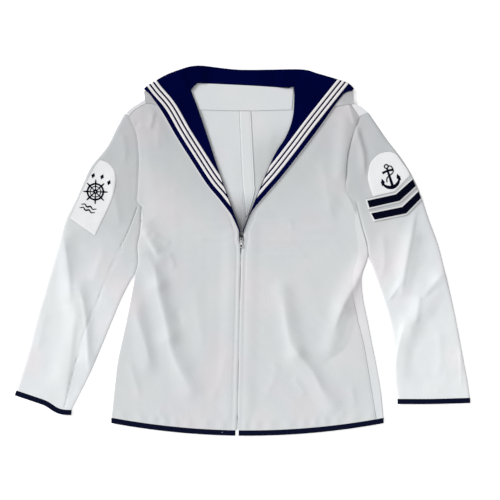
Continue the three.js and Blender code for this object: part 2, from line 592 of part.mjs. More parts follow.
// White lining of the lapels, a little wider than the navy
function lining(outRows, inRows, hand) {
  const outer = offset(along(outRows, LAPEL_ROWS, LINING_START, LINING_END), -hand * LINING_PROUD);
  const inner = offset(along(inRows, LAPEL_ROWS, LINING_START, LINING_END), hand * -SEAM);
  return sheet(inner.map((p, i) => [p, between(p, outer[i], 0.5), outer[i]]), liningUnder, THIN);
}
piece('collar_lining_left', lining(LEFT_LAPEL_OUT, LEFT_LAPEL_IN, -1), TAPE_WHITE);
piece('collar_lining_right', lining(RIGHT_LAPEL_OUT, RIGHT_LAPEL_IN, 1), TAPE_WHITE);

// Tapes: each runs beside the lapel's outer edge until the inner edge cuts it off
function tapeEdge(outRows, inRows, distance, hand) {
  const beside = offset(along(outRows, FINE_ROWS, 0, TAPE_TOP), hand * distance);
  const inner = along(inRows, FINE_ROWS);
  const innerX = (y) => inner.reduce((best, p) => (Math.abs(p.y - y) < Math.abs(best.y - y) ? p : best)).x;
  const kept = beside.filter((p) => hand * (p.x - innerX(p.y)) > TAPE_CLEAR);
  return along(kept.map((p) => [p.x, p.y]), TAPE_ROWS);
}
for (const [side, outRows, inRows, hand] of [
  ['left', LEFT_LAPEL_OUT, LEFT_LAPEL_IN, -1],
  ['right', RIGHT_LAPEL_OUT, RIGHT_LAPEL_IN, 1],
]) {
  TAPE_STARTS.forEach((start, k) => {
    const [a, b] = [start, start + TAPE_WIDTH].map((d) => tapeEdge(outRows, inRows, d, hand));
    piece(`collar_tape_${side}_${k + 1}`, sheet(a.map((p, i) => [p, b[i]]), tapeUnder, THIN), TAPE_WHITE);
  });
}

// Sleeve badges and chevrons
const onSleeve = (folds, level = 0) => (p) => sleeveOver(folds)(p) + SEAM + level;
function badge(inRows, outRows, folds) {
  const a = along(inRows, BADGE_ROWS);
  const b = along(outRows, BADGE_ROWS);
  const grid = a.map((p, i) => steps(0, 1, BADGE_COLUMNS).map((t) => between(p, b[i], t)));
  return sheet(grid, onSleeve(folds), THIN);
}
piece('badge_left', badge(LEFT_BADGE_IN, LEFT_BADGE_OUT, LEFT_SLEEVE_FOLDS), TAPE_WHITE);
piece('badge_right', badge(RIGHT_BADGE_IN, RIGHT_BADGE_OUT, RIGHT_SLEEVE_FOLDS), TAPE_WHITE);

function chevron(rows, edge, level) {
  const line = ([start, elbow, finish]) => {
    const [s, e, f] = [start, elbow, finish].map(([x, y]) => point(x, y));
    const out = (from, to) => toward(from, to, -edge);
    return [out(s, e), between(s, e, 0.5), e, between(e, f, 0.5), out(f, e)];
  };
  const top = offset(line(rows.top), edge);
  const low = offset(line(rows.low), -edge);
  const grid = low.map((p, i) => [p, between(p, top[i], 0.5), top[i]]);
  return sheet(grid, onSleeve(RIGHT_SLEEVE_FOLDS, level), THIN);
}
for (const [name, rows] of Object.entries(CHEVRONS)) {
  piece(`chevron_backing_${name}`, chevron(rows, CHEVRON_EDGE, 0), TAPE_WHITE);
  piece(`chevron_${name}`, chevron(rows, 0, THIN + SEAM), DARK_NAVY);
}

// Zip
const chainTop = SLIDER.y - SLIDER.long / 2 - SEAM;
const chainLow = hemY(zipAtHem) + BINDING_WIDTH + ZIP_BOX.above + ZIP_BOX.long + SEAM;
const zipRows = steps(chainLow, chainTop, ZIP_ROWS);
const zipStrip = (from, to, thick) => sheet(
  zipRows.map((y) => [point(zipX(y) + from, y), point(zipX(y) + to, y)]),
  inside,
  thick,
);
const tapeIn = CHAIN_WIDTH / 2 + SEAM;
piece('zip_tape_left', zipStrip(-tapeIn - ZIP_TAPE_WIDTH, -tapeIn, THIN), ZIP_CLOTH);
piece('zip_tape_right', zipStrip(tapeIn, tapeIn + ZIP_TAPE_WIDTH, THIN), ZIP_CLOTH);
piece('zip_chain', zipStrip(-CHAIN_WIDTH / 2, CHAIN_WIDTH / 2, CHAIN_HIGH), METAL);

function rectangle(wide, long, x = 0, y = 0) {
  const shape = new THREE.Shape();
  shape.moveTo(x - wide / 2, y - long / 2);
  shape.lineTo(x + wide / 2, y - long / 2);
  shape.lineTo(x + wide / 2, y + long / 2);
  shape.lineTo(x - wide / 2, y + long / 2);
  shape.closePath();
  return shape;
}
const sliderX = zipX(SLIDER.y);
const boxY = chainLow - SEAM - ZIP_BOX.long / 2;
piece('zip_box', prism(rectangle(ZIP_BOX.wide, ZIP_BOX.long, zipX(boxY), boxY), WALL + SEAM,
  WALL + SEAM + CHAIN_HIGH), METAL);

// Slider: two plates held apart by a post, and the bridge that carries the pull tab
function slider() {
  const plate = new THREE.Shape();
  const [w, l] = [SLIDER.wide / 2, SLIDER.long / 2];
  plate.moveTo(-SLIDER_PLATE.tail / 2, -l);
  plate.lineTo(SLIDER_PLATE.tail / 2, -l);
  plate.lineTo(w, SLIDER_PLATE.widest);
  plate.quadraticCurveTo(w, l, SLIDER_PLATE.brow / 2, l);
  plate.lineTo(-SLIDER_PLATE.brow / 2, l);
  plate.quadraticCurveTo(-w, l, -w, SLIDER_PLATE.widest);
  plate.closePath();
  const apart = SLIDER.low + SLIDER.plate + SLIDER.apart;
  const top = apart + SLIDER.plate;
  const eyeTop = top + BRIDGE.clear;
  const bar = BRIDGE.bar;
  const legAt = (BRIDGE.long - bar) / 2;
  const solid = fused(
    prism(plate, SLIDER.low, SLIDER.low + SLIDER.plate),
    prism(plate, apart, top),
    prism(rectangle(POST.wide, POST.long, 0, POST.y), SLIDER.low + bar / 2, apart + bar / 2),
    prism(rectangle(BRIDGE.wide, bar, 0, -legAt), top - bar / 2, eyeTop + bar),
    prism(rectangle(BRIDGE.wide, bar, 0, legAt), top - bar / 2, eyeTop + bar),
    prism(rectangle(BRIDGE.wide, BRIDGE.long), eyeTop, eyeTop + bar),
  );
  return { solid: solid.translate(sliderX, SLIDER.y, 0), top };
}
const sliderPart = slider();
piece('zip_slider', sliderPart.solid, METAL);

// Pull tab: a flat tab with a slot round the bridge and a ring at its end, on a bar under the bridge
function pullTab() {
  const half = PULL.thick / 2;
  const shape = new THREE.Shape();
  const wide = PULL.wide / 2;
  const ringY = -PULL.body - PULL_RING.drop;
  shape.moveTo(-wide, half);
  shape.lineTo(-wide, -PULL.body);
  shape.lineTo(-PULL_RING.waist, -PULL.body);
  const start = Math.atan2(PULL_RING.drop, -PULL_RING.waist);
  shape.absarc(0, ringY, PULL_RING.radius, start, Math.PI - start, false);
  shape.lineTo(wide, -PULL.body);
  shape.lineTo(wide, half);
  shape.closePath();
  const slot = rectangle(2 * PULL.slot, PULL.neck - half, 0, -(PULL.neck + half) / 2);
  const eye = new THREE.Path();
  eye.absarc(0, ringY, PULL_RING.hole, 0, 2 * Math.PI, true);
  shape.holes.push(slot, eye);
  return fused(prism(shape, -half, half));
}
const pinLevel = sliderPart.top + SEAM + PULL.thick / 2;
piece('zip_pull_tab', pullTab().translate(sliderX, SLIDER.y, pinLevel), METAL);

export default jumper;
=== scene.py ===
"""Sailor jumper laid flat, face up, seen from straight above.

Tables and levels are in millimetres, +X to the right, +Y toward the collar, +Z up, with the origin under
the jumper's middle. Meshes are made in metres. Left and right are as seen from above.
"""
import math

import bpy
import numpy as np
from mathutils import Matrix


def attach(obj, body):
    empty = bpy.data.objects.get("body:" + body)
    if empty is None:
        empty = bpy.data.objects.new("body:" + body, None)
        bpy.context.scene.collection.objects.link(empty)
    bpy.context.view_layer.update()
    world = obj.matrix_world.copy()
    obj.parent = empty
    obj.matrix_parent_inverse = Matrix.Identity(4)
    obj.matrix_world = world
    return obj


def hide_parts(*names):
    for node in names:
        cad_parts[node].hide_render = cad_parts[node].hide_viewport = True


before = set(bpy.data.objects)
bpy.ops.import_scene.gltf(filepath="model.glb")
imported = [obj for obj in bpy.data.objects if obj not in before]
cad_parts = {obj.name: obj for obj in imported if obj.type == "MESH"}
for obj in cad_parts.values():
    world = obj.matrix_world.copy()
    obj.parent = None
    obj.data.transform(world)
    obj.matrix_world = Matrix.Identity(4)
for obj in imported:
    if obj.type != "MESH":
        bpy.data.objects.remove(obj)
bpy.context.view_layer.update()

MM = 0.001
BODY = "garment"

# Thicknesses and gaps, as in the CAD
WALL = 1.1
THIN = 1.0
SEAM = 0.3
LOOSE = 0.8
BINDING_WALL = 2.2
BINDING_WIDTH = 10
SLEEVE_HIGH = 3.0
LEFT_TURN = 6
CHAIN_HIGH = 1.5
ZIP_RISE = CHAIN_HIGH + 2 * SEAM - LOOSE
HEM_RISE = 1.5 * (BINDING_WALL - WALL) + SEAM - LOOSE
FLAP_BOTTOM = 87
TAPE_WIDTH = 5
TAPE_STARTS = [8.5, 16.5, 24.5]
LINING_PROUD = 1.6

# How far two grids of one cloth overlap where they join
WELD = 1.5

# How many grid lines stand for one stretch of the CAD's coarse edges
FRONT_FINE = 10
BACK_FINE = 6
COLLAR_FINE = 8

# Outlines. Columns: x, y
COLLAR_FOLD = [
    (-187, 307), (-180, 314), (-168, 321), (-145, 334), (-119, 344), (-98, 350), (-73, 351), (-9, 344),
    (60, 344), (115, 344), (145, 336), (195, 321), (205, 315), (212, 307),
]
NECK_SEAM = [
    (-98, 304), (-89, 315), (-84, 318.5), (-69, 318), (-24, 316), (33, 313), (85, 309.5), (90, 311),
    (95, 315), (97, 310),
]
LEFT_LAPEL_OUT = [
    (-6, 36), (-20, 66), (-43, 97), (-67, 126), (-97, 172), (-126, 218), (-152, 263), (-174, 294),
    (-187, 307),
]
LEFT_LAPEL_IN = [(-3, 35), (-46, 155), (-66, 216), (-85, 271), (-98, 304)]
RIGHT_LAPEL_OUT = [
    (2, 36), (10, 58), (21, 79), (48, 111), (75, 142), (111, 188), (145, 233), (189, 294), (212, 307),
]
RIGHT_LAPEL_IN = [(-1, 35), (54, 168), (82, 216), (95, 252), (98, 290), (97, 310)]
SHOULDER_EDGE = {
    "left": [(-222, 261), (-211, 271), (-195, 281), (-185, 287), (-147, 306), (-102, 325)],
    "right": [(238, 263), (224, 274), (214, 279), (166, 304), (100, 325)],
}
SHOULDER_SEAM = {
    "left": [(-214, 256), (-204, 267), (-183, 279), (-145, 294), (-103, 311)],
    "right": [(221, 254), (210, 270), (198, 285), (157, 298), (99, 309)],
}
ARMHOLE = {
    "left": [(-191, 84), (-200, 94), (-199, 116), (-197, 173), (-200, 213), (-206, 235), (-214, 250)],
    "right": [(216, 90), (205, 101), (196, 119), (198, 174), (206, 211), (214, 233)],
}
LEFT_SIDE = [
    (-249, -308), (-244, -268), (-238, -215), (-231, -181), (-221, -135), (-212, -90), (-204, -48),
    (-198, -22), (-199, 9), (-194, 36), (-191, 84),
]
RIGHT_SIDE = [
    (268, -308), (263, -268), (254, -215), (247, -181), (238, -135), (229, -90), (227, -50), (238, -14),
    (236, 14), (226, 49), (216, 90),
]
RIGHT_SIDE_SEAM = [
    (254, -308), (233, -192), (219, -131), (210, -84), (209, -46), (218, -10), (218, 20), (213, 52),
    (214.5, 87),
]
LEFT_SLEEVE_OUT = [
    (-429, -265), (-413, -215), (-400, -169), (-389, -124), (-375, -78), (-362, -33), (-349, 13), (-335, 59),
    (-318, 93), (-301, 131), (-286, 161), (-257, 197), (-240, 230), (-224, 260),
]
LEFT_SLEEVE_IN = [
    (-324, -302), (-286, -226), (-267, -181), (-248, -135), (-229, -90), (-212, -57), (-205, -46),
    (-198.6, -22), (-199.6, 9), (-194.6, 36), (-191.6, 84),
]
RIGHT_SLEEVE_OUT = [
    (432, -279), (426, -240), (415, -181), (404, -124), (394, -78), (383, -33), (371, 13), (354, 59),
    (339, 104), (324, 138), (303, 173), (269, 218), (239, 262),
]
RIGHT_SLEEVE_IN = [
    (294, -281), (287, -227), (285, -160), (273, -108), (255, -55), (244, -24), (239, -11), (236.7, 14),
    (226.8, 49), (217, 90),
]
LEFT_CUFF = [(-429, -265), (-396, -276), (-371, -285), (-352, -297), (-340, -301), (-324, -302)]
RIGHT_CUFF = [(432, -279), (360, -281), (294, -281)]
LEFT_UNDERARM_SEAM = [(-200, 82), (-215, 41), (-245, -24), (-294, -143), (-319, -224), (-337, -297)]
FACING_LOW = [(-84, 268), (0, 266), (93, 268)]
STRIP_LEFT = [(-7, 265), (-1, 134), (3, 96), (5, 64)]
STRIP_RIGHT = [(15, 265), (22, 134), (22, 110), (10, 68)]
LEFT_BADGE_IN = [(-280, 29), (-250, 93), (-241, 128), (-243, 152), (-254, 166), (-262, 170)]
LEFT_BADGE_OUT = [(-327, 62), (-313, 92), (-296, 129), (-281, 158), (-270, 172)]
RIGHT_BADGE_IN = [(248, 103), (241, 124), (238, 142), (243, 166), (257, 182), (270, 187)]
RIGHT_BADGE_OUT = [(318, 143), (312, 155), (304, 166), (292, 182), (280, 188)]
CHEVRONS = {
    "upper": ([(236.5, 95), (291, 107), (323, 135.5)], [(240.5, 82), (298, 95), (328.5, 123)]),
    "lower": ([(244, 71), (303, 83), (333.5, 112.5)], [(250.5, 59), (310, 71), (338.5, 100)]),
}
CHEVRON_EDGE = 2.8
HEM_LEFT = -249
HEM_RIGHT = 269

# How far the fronts' edges stand from the zip's line. Columns: y, distance on the left, on the right
ZIP_OPENING = [
    (-345, 2.2, 1.8), (-334, 0.5, 0.4), (-325, 0.2, 0.1), (-320, 0.9, 0.4), (-314, 0.7, 0.3),
    (-308, 0.2, 0.1), (-274, 0.15, 0.1), (-262, 0.5, 0.2), (-215, 0.5, 0.2), (-204, 0.15, 0.1),
    (-98, 0.15, 0.1), (-88, 0.4, 0.3), (-60, 0.6, 0.4), (-32, 0.5, 0.3), (-22, 0.15, 0.15), (-15, 0.5, 0.4),
    (-10, 0.2, 0.2), (-3, 0.9, 0.8), (4, 1.3, 1.2), (10, 1.8, 1.7), (18, 4.3, 4.3), (29, 4.6, 4.4),
]
ZIP_STITCH = 7.6
NOTCH_FOOT, NOTCH_HEAD = -6, 29

# How much higher creases stand than their tables say, and how many waves make one ripple
CRISP = 1.25
RIPPLE_WAVES = 9

# Main folds of each panel, as in the CAD. Columns: from x, from y, to x, to y, height, half width
LEFT_FRONT_FOLDS = [
    (-186, 46, -155, -12, 3.5, 15),
    (-190, -8, -160, -60, 4.0, 17),
    (-160, -70, -138, -160, 4.5, 18),
    (-138, -170, -98, -262, 3.5, 18),
    (-200, -110, -180, -215, 3.0, 16),
]
RIGHT_FRONT_FOLDS = [
    (228, -25, 190, -105, 4.5, 17),
    (190, -112, 168, -180, 3.5, 17),
    (76, -75, 102, -192, 3.5, 17),
    (104, -200, 168, -290, 3.5, 18),
    (196, 250, 186, 150, 2.5, 14),
]
LEFT_SLEEVE_FOLDS = [
    (-336, 20, -326, -104, 3.5, 17),
    (-308, -70, -296, -200, 3.5, 16),
    (-318, -120, -344, -240, 3.0, 17),
]
RIGHT_SLEEVE_FOLDS = [
    (321, 22, 306, -70, 4.0, 17),
    (338, -70, 322, -150, 3.0, 16),
    (312, -140, 300, -230, 3.0, 16),
    (376, -50, 350, -110, 2.5, 16),
]

# Creases on top of the folds, each along its own line.
# Columns: points, height, half width on the left of its direction, half width on the right
LEFT_FRONT_CREASES = [
    ([(-161, 268), (-169, 257), (-172, 242), (-178, 228)], 1.6, 5, 9),
    ([(-197, 247), (-202, 231)], -0.7, 4, 6),
    ([(-150, 262), (-160, 230), (-158, 190)], 1.0, 14, 9),
    ([(-190, 41), (-176, 16), (-158, -10)], 1.8, 8, 4),
    ([(-187, 33), (-176, 8), (-163, -17)], -0.7, 5, 4),
    ([(-197, 5), (-177, -17), (-166, -38), (-159, -80), (-145, -137), (-134, -192), (-115, -234),
      (-92, -268)], 1.7, 10, 5),
    ([(-174, 33), (-152, 22), (-134, 12)], 1.0, 5, 8),
    ([(-141, 0), (-134, -18), (-129, -36)], 0.9, 5, 7),
    ([(-126, -109), (-115, -142)], -0.6, 7, 7),
    ([(-207, -109), (-187, -165), (-173, -220)], 1.3, 9, 6),
    ([(-215, -206), (-204, -245), (-193, -284)], 0.9, 6, 8),
    ([(-110, 60), (-60, 48), (-20, 44)], 0.5, 6, 4),
    ([(-94, 24), (-50, 23), (-16, 26)], 0.5, 3, 4),
    ([(-90, -60), (-84, -130), (-70, -190)], 0.7, 14, 10),
    ([(-60, -290), (-40, -235), (-36, -190)], 0.6, 9, 9),
    ([(-160, -300), (-150, -322)], 0.6, 4, 4),
    ([(-118, -310), (-112, -330)], 0.5, 4, 4),
    ([(-70, -318), (-66, -334)], 0.5, 4, 4),
]
RIGHT_FRONT_CREASES = [
    ([(198, 284), (211, 247), (214, 236)], 1.4, 8, 5),
    ([(235, -17), (216, -59), (188, -109), (171, -162)], 1.8, 5, 9),
    ([(216, -109), (194, -178), (171, -204), (141, -223)], -0.8, 6, 8),
    ([(212, -120), (196, -172), (178, -196)], 1.0, 5, 7),
    ([(74, -75), (88, -165), (102, -192), (132, -228), (149, -262), (171, -295)], 1.4, 9, 5),
    ([(96, -237), (108, -256), (121, -276)], 0.9, 5, 7),
    ([(18, 22), (80, 20), (150, 22), (216, 17)], 0.6, 3, 6),
    ([(24, -8), (80, -9), (132, -8)], 0.5, 4, 4),
    ([(16, 55), (60, 56), (90, 54), (92, 30)], 0.4, 4, 3),
    ([(150, 180), (160, 120), (170, 60)], 0.8, 14, 10),
    ([(60, 60), (110, 40), (190, 44)], 0.6, 9, 6),
    ([(40, -280), (60, -240), (62, -200)], 0.6, 9, 9),
    ([(206, -250), (214, -300)], 0.7, 6, 8),
    ([(96, -320), (100, -336)], 0.5, 4, 4),
    ([(150, -314), (156, -332)], 0.5, 4, 4),
    ([(186, -304), (196, -324)], 0.5, 4, 4),
]
LEFT_SLEEVE_CREASES = [
    ([(-340, 33), (-329, -44), (-326, -104)], 1.5, 5, 9),
    ([(-312, -62), (-301, -104), (-296, -143), (-291, -238)], 1.5, 8, 4),
    ([(-315, -104), (-326, -209), (-340, -290)], 1.2, 6, 9),
    ([(-255, 150), (-240, 90), (-232, 40)], 0.9, 10, 8),
    ([(-262, 10), (-285, -60)], 0.8, 9, 6),
    ([(-372, -110), (-392, -200)], 0.8, 8, 10),
    ([(-228, 226), (-222, 190), (-226, 160)], 0.8, 6, 8),
]
RIGHT_SLEEVE_CREASES = [
    ([(213, 243), (222, 212), (230, 177), (232, 138)], 2.1, 4, 8),
    ([(222, 236), (234, 205), (241, 175)], -0.9, 9, 5),
    ([(331, 86), (316, 9), (305, -52), (300, -93)], 1.6, 4, 8),
    ([(303, -55), (290, -76), (276, -97)], 1.3, 4, 6),
    ([(336, -80), (333, -112), (327, -143)], 1.2, 4, 7),
    ([(383, -41), (360, -66), (341, -93)], 1.2, 5, 7),
    ([(387, -62), (364, -76), (341, -93)], -0.6, 5, 6),
    ([(310, -126), (296, -180), (288, -238)], 1.2, 7, 4),
    ([(366, -256), (374, -270)], 0.6, 4, 4),
    ([(413, -177), (415, -262)], 0.5, 3, 3),
    ([(262, 40), (270, -10), (262, -60)], 0.9, 8, 8),
    ([(370, -140), (376, -200), (366, -244)], 0.7, 10, 8),
]
COLLAR_CREASES = [
    ([(-110, 345), (-101, 328), (-95, 311)], -1.1, 4, 6),
    ([(-122, 340), (-112, 322), (-106, 300)], 1.6, 9, 7),
    ([(-88, 346), (-80, 332), (-76, 322)], 1.2, 7, 7),
    ([(112, 330), (102, 322), (96, 312)], -1.0, 5, 5),
    ([(128, 336), (116, 318), (112, 296)], 1.4, 8, 8),
    ([(-30, 338), (20, 336), (80, 338)], 0.9, 7, 9),
    ([(-96, 250), (-112, 200), (-92, 160)], 0.6, 9, 9),
    ([(106, 250), (112, 210), (92, 176)], 0.6, 9, 9),
]
BACK_CREASES = [
    ([(-60, 240), (-52, 180), (-44, 140)], 0.5, 8, 8),
    ([(60, 240), (50, 190), (52, 130)], 0.5, 8, 8),
    ([(-120, 40), (-90, -80), (-110, -200)], 0.5, 9, 7),
    ([(140, 60), (110, -60), (130, -180)], 0.5, 7, 9),
    ([(-190, -60), (-150, -150), (-160, -260)], 0.5, 8, 8),
    ([(200, -120), (180, -220), (190, -300)], 0.5, 8, 8),
    ([(-40, -100), (-60, -220), (-40, -300)], 0.5, 10, 8),
]


# Points and curves in the plane

def smooth(low, high, value):
    t = np.clip((value - low) / (high - low), 0, 1)
    return t * t * (3 - 2 * t)


def fade(low, high, value):
    return 1 - smooth(low, high, value)


def unit(vectors):
    return vectors / np.hypot(vectors[..., 0], vectors[..., 1])[..., None]


def left_of(vectors):
    return np.stack([-vectors[..., 1], vectors[..., 0]], axis=-1)


def run_of(path):
    """How far along a path each of its points lies."""
    return np.concatenate([[0], np.cumsum(np.hypot(*np.diff(path, axis=0).T))])


def at_run(path, run, want):
    return np.stack([np.interp(want, run, path[:, k]) for k in (0, 1)], axis=1)


def paced(path, places):
    """Points along a path at places from 0 to 1 of its length."""
    path = np.array(path, float)
    run = run_of(path)
    return at_run(path, run, np.array(places) * run[-1])


def along(rows, count, start=0.0, end=1.0):
    """Evenly spaced points along a smooth curve through the rows of an outline."""
    p = np.array(rows, float)
    ends = np.vstack([p[:1], p, p[-1:]])
    t = np.linspace(0, len(p) - 1, 40 * (len(p) - 1) + 1)
    i = np.minimum(t.astype(int), len(p) - 2)
    w = (t - i)[:, None]
    a, b, c, d = (ends[i + k] for k in range(4))
    go, come = (c - a) / 2, (d - b) / 2
    curve = (2 * b - 2 * c + go + come) * w**3 + (3 * c - 3 * b - 2 * go - come) * w**2 + go * w + b
    return paced(curve, np.linspace(start, end, count))


def circle(radius, middle=(0, 0), start=0.0, end=360.0, count=17):
    angles = np.radians(np.linspace(start, end, count))
    return [(middle[0] + radius * math.cos(a), middle[1] + radius * math.sin(a)) for a in angles]


def normals(path):
    """Unit vectors to the left of a path's direction."""
    return left_of(unit(np.gradient(path, axis=0)))


def offset(path, distance):
    """Moves each point of a path to the left of its direction."""
    return path + normals(path) * np.reshape(distance, (-1, 1))


def joined(*stretches):
    """Stretches of an edge that meet end to end."""
    return np.vstack([stretches[0]] + [stretch[1:] for stretch in stretches[1:]])


def patch(left, right, bottom, top):
    """Fills the space between four edges with rows of points, from the bottom row up."""
    v = np.linspace(0, 1, len(left))[:, None, None]
    u = np.linspace(0, 1, len(bottom))[None, :, None]
    sides = (1 - u) * left[:, None] + u * right[:, None]
    ends = (1 - v) * bottom[None] + v * top[None]
    corners = ((1 - u) * (1 - v) * bottom[0] + u * (1 - v) * bottom[-1]
               + (1 - u) * v * top[0] + u * v * top[-1])
    return sides + ends - corners


def ruled(left, right, columns):
    """Rows of points across the space between two edges."""
    u = np.linspace(0, 1, columns)[None, :, None]
    return left[:, None] * (1 - u) + right[:, None] * u


def near(points, path):
    """Each point's distance to the left of a path, and how far along the path it lies, from 0 to 1."""
    flat = points.reshape(-1, 1, 2)
    start, step = path[:-1], np.diff(path, axis=0)
    size = (step**2).sum(1)
    t = np.clip(((flat - start) * step).sum(2) / size, 0, 1)
    gap = flat - (start + t[..., None] * step)
    distance = np.hypot(gap[..., 0], gap[..., 1])
    k = distance.argmin(1)
    pick = np.arange(len(k))
    side = np.sign(step[k, 0] * gap[pick, k, 1] - step[k, 1] * gap[pick, k, 0])
    run = run_of(path)
    place = (run[k] + t[pick, k] * np.sqrt(size[k])) / run[-1]
    shape = points.shape[:-1]
    return (distance[pick, k] * side).reshape(shape), place.reshape(shape)


# Levels of the cloth. Each takes an array of plane points and gives a height above the ground

def flat_level(height):
    return lambda p: np.full(p.shape[:-1], float(height))


GROUND = flat_level(0)


def fold_height(folds, p):
    total = np.zeros(p.shape[:-1])
    for x1, y1, x2, y2, height, half in folds:
        length = math.hypot(x2 - x1, y2 - y1)
        run = ((p[..., 0] - x1) * (x2 - x1) + (p[..., 1] - y1) * (y2 - y1)) / length
        side = ((p[..., 0] - x1) * (y2 - y1) - (p[..., 1] - y1) * (x2 - x1)) / length
        beyond = np.maximum(np.maximum(-run, run - length), 0)
        total += height * np.exp(-(side / half)**2 - (beyond / half)**2)
    return total


def crease_height(creases, p):
    """Ridges and troughs along their lines, steeper on one side, fading toward both ends."""
    total = np.zeros(p.shape[:-1])
    for rows, height, left, right in creases:
        distance, run = near(p, along(rows, 8 * len(rows)))
        half = np.where(distance > 0, left, right)
        ends = smooth(0, 0.22, run) * smooth(0, 0.22, 1 - run)
        total += CRISP * height * np.exp(-np.abs(distance / half)**1.5) * ends
    return total


def ripple(p, seed, height, length):
    """Gentle unevenness of cloth that was worn and pressed."""
    rng = np.random.default_rng(seed)
    total = np.zeros(p.shape[:-1])
    for _ in range(RIPPLE_WAVES):
        angle, phase, scale = rng.uniform(0, math.pi), rng.uniform(0, 2 * math.pi), rng.uniform(0.6, 1.6)
        wave = (p[..., 0] * math.cos(angle) + p[..., 1] * math.sin(angle)) * 2 * math.pi / (length * scale)
        total += np.sin(wave + phase + 0.7 * np.sin(wave * 0.37 + 2 * phase))
    return height * total / (RIPPLE_WAVES / 2)


def edge_x(top, bottom, y):
    return top[0] + (bottom[0] - top[0]) * (y - top[1]) / (bottom[1] - top[1])


def flap_rise(p):
    """The back rises over the collar flap that lies under it."""
    x, y = p[..., 0], p[..., 1]
    left = edge_x((-187, 307), (-150, FLAP_BOTTOM), y) - x
    right = x - edge_x((212, 307), (155, FLAP_BOTTOM), y)
    beyond = np.maximum(np.maximum(left, right), FLAP_BOTTOM - y)
    return (WALL + SEAM) * fade(8, 38, beyond)


def zip_x(y):
    return -2.5 - 7.5 * (24 - y) / 354


def by_zip(y, distance):
    return np.stack([zip_x(y) + distance, y], axis=1)


def hem_y(x):
    return -351 + 0.000358 * (x - 10)**2


def zip_rise(p):
    x, y = p[..., 0], p[..., 1]
    return ZIP_RISE * fade(15, 40, np.abs(x - zip_x(y))) * fade(24, 90, y)


def above_hem(p):
    return p[..., 1] - hem_y(p[..., 0])


def back_relief(p):
    calm = smooth(12, 40, above_hem(p)) * fade(240, 262, p[..., 1])
    return np.clip(crease_height(BACK_CREASES, p) + ripple(p, 3, 0.12, 60), 0, 0.6) * calm


def back_under(p):
    return flap_rise(p) + back_relief(p)


def back_over(p):
    return flap_rise(p) + WALL


HANDS = {"left": -1, "right": 1}
LAPELS = {
    "left": (LEFT_LAPEL_OUT, LEFT_LAPEL_IN, -1),
    "right": (RIGHT_LAPEL_OUT, RIGHT_LAPEL_IN, 1),
}
FRONTS = {
    "left": (LEFT_FRONT_FOLDS, LEFT_FRONT_CREASES, 11),
    "right": (RIGHT_FRONT_FOLDS, RIGHT_FRONT_CREASES, 12),
}
SLEEVES = {
    "left": (LEFT_SLEEVE_FOLDS, LEFT_SLEEVE_CREASES, 21),
    "right": (RIGHT_SLEEVE_FOLDS, RIGHT_SLEEVE_CREASES, 22),
}


def front_under(side):
    """Underside of a front: over the back, the zip and the hem's binding, with its folds and creases."""
    folds, creases, seed = FRONTS[side]
    out_rows, _, hand = LAPELS[side]
    lapel = along(out_rows, 60)

    def level(p):
        x, y, up = p[..., 0], p[..., 1], above_hem(p)
        free = smooth(1, 22, -hand * near(p, lapel)[0])
        at_zip = smooth(3, 26, np.abs(x - zip_x(y)) + np.maximum(y - 24, 0))
        relief = crease_height(creases, p) + ripple(p, seed, 0.4, 90) + ripple(p, seed + 50, 0.14, 30) + 0.5
        relief = np.maximum(relief, -0.4) * free * smooth(11, 34, up) * at_zip
        rise = np.maximum(zip_rise(p), HEM_RISE * fade(14, 60, up))
        wave = 0.5 * np.sin(x / 4.1 + 1.7 * np.sin(x / 23)) * smooth(10, 16, up) * fade(18, 34, up)
        fold = fold_height(folds, p) * smooth(12, 40, up) * free
        return back_over(p) + LOOSE + rise + fold + relief + np.maximum(wave, -0.3)
    return level


def plain_front_over(p):
    return back_over(p) + LOOSE + zip_rise(p) + WALL


def lining_under(p):
    return plain_front_over(p) + SEAM


def collar_relief(p):
    soft = ripple(p, 5, 0.18, 45) + 0.2
    roll = 1.6 * smooth(322, 336, p[..., 1]) * fade(60, 120, np.abs(p[..., 0]))
    calm = smooth(60, 110, p[..., 1])
    return np.maximum(crease_height(COLLAR_CREASES, p) + soft, -0.9) * calm + roll


def collar_under(p):
    blend = np.maximum(smooth(58, 78, np.abs(p[..., 0])), fade(270, 290, p[..., 1]))
    low, high = WALL + SEAM, lining_under(p) + THIN + SEAM
    return low + (high - low) * blend + np.maximum(collar_relief(p), 0)


def collar_over(p):
    return collar_under(p) + WALL


def sleeve_rise(side):
    """How far the top of a sleeve stands above the ground, away from its edges."""
    folds, creases, seed = SLEEVES[side]

    def level(p):
        relief = crease_height(creases, p) + ripple(p, seed, 0.5, 80) + ripple(p, seed + 50, 0.15, 28) + 0.6
        return SLEEVE_HIGH + fold_height(folds, p) + np.maximum(relief, -0.3)
    return level


# Meshes

def wall(outer, inner, ring=False):
    """Closes an outer and an inner grid of space points into one wall."""
    rows, columns = outer.shape[:2]
    points = np.vstack([outer.reshape(-1, 3), inner.reshape(-1, 3)])
    a = np.arange(rows * columns).reshape(rows, columns)
    if ring:
        a = np.hstack([a, a[:, :1]])
    b = a + rows * columns
    grids = [a, b.T, np.stack([a[0], b[0]], axis=1), np.stack([a[-1], b[-1]])]
    if not ring:
        grids += [np.stack([a[:, 0], b[:, 0]]), np.stack([a[:, -1], b[:, -1]], axis=1)]
    quads = [np.stack([g[:-1, :-1], g[:-1, 1:], g[1:, 1:], g[1:, :-1]], axis=-1) for g in grids]
    return outward(points, np.vstack([quad.reshape(-1, 4) for quad in quads]))


def outward(points, faces):
    """Turns a closed mesh's faces to point outward."""
    a, b, c, d = (points[faces[:, k]] for k in range(4))
    volume = (a * np.cross(b, c)).sum() + (a * np.cross(c, d)).sum()
    return points, faces if volume > 0 else faces[:, ::-1]


def lift(grid, level):
    return np.concatenate([grid, np.broadcast_to(level, grid.shape[:-1])[..., None]], axis=-1)


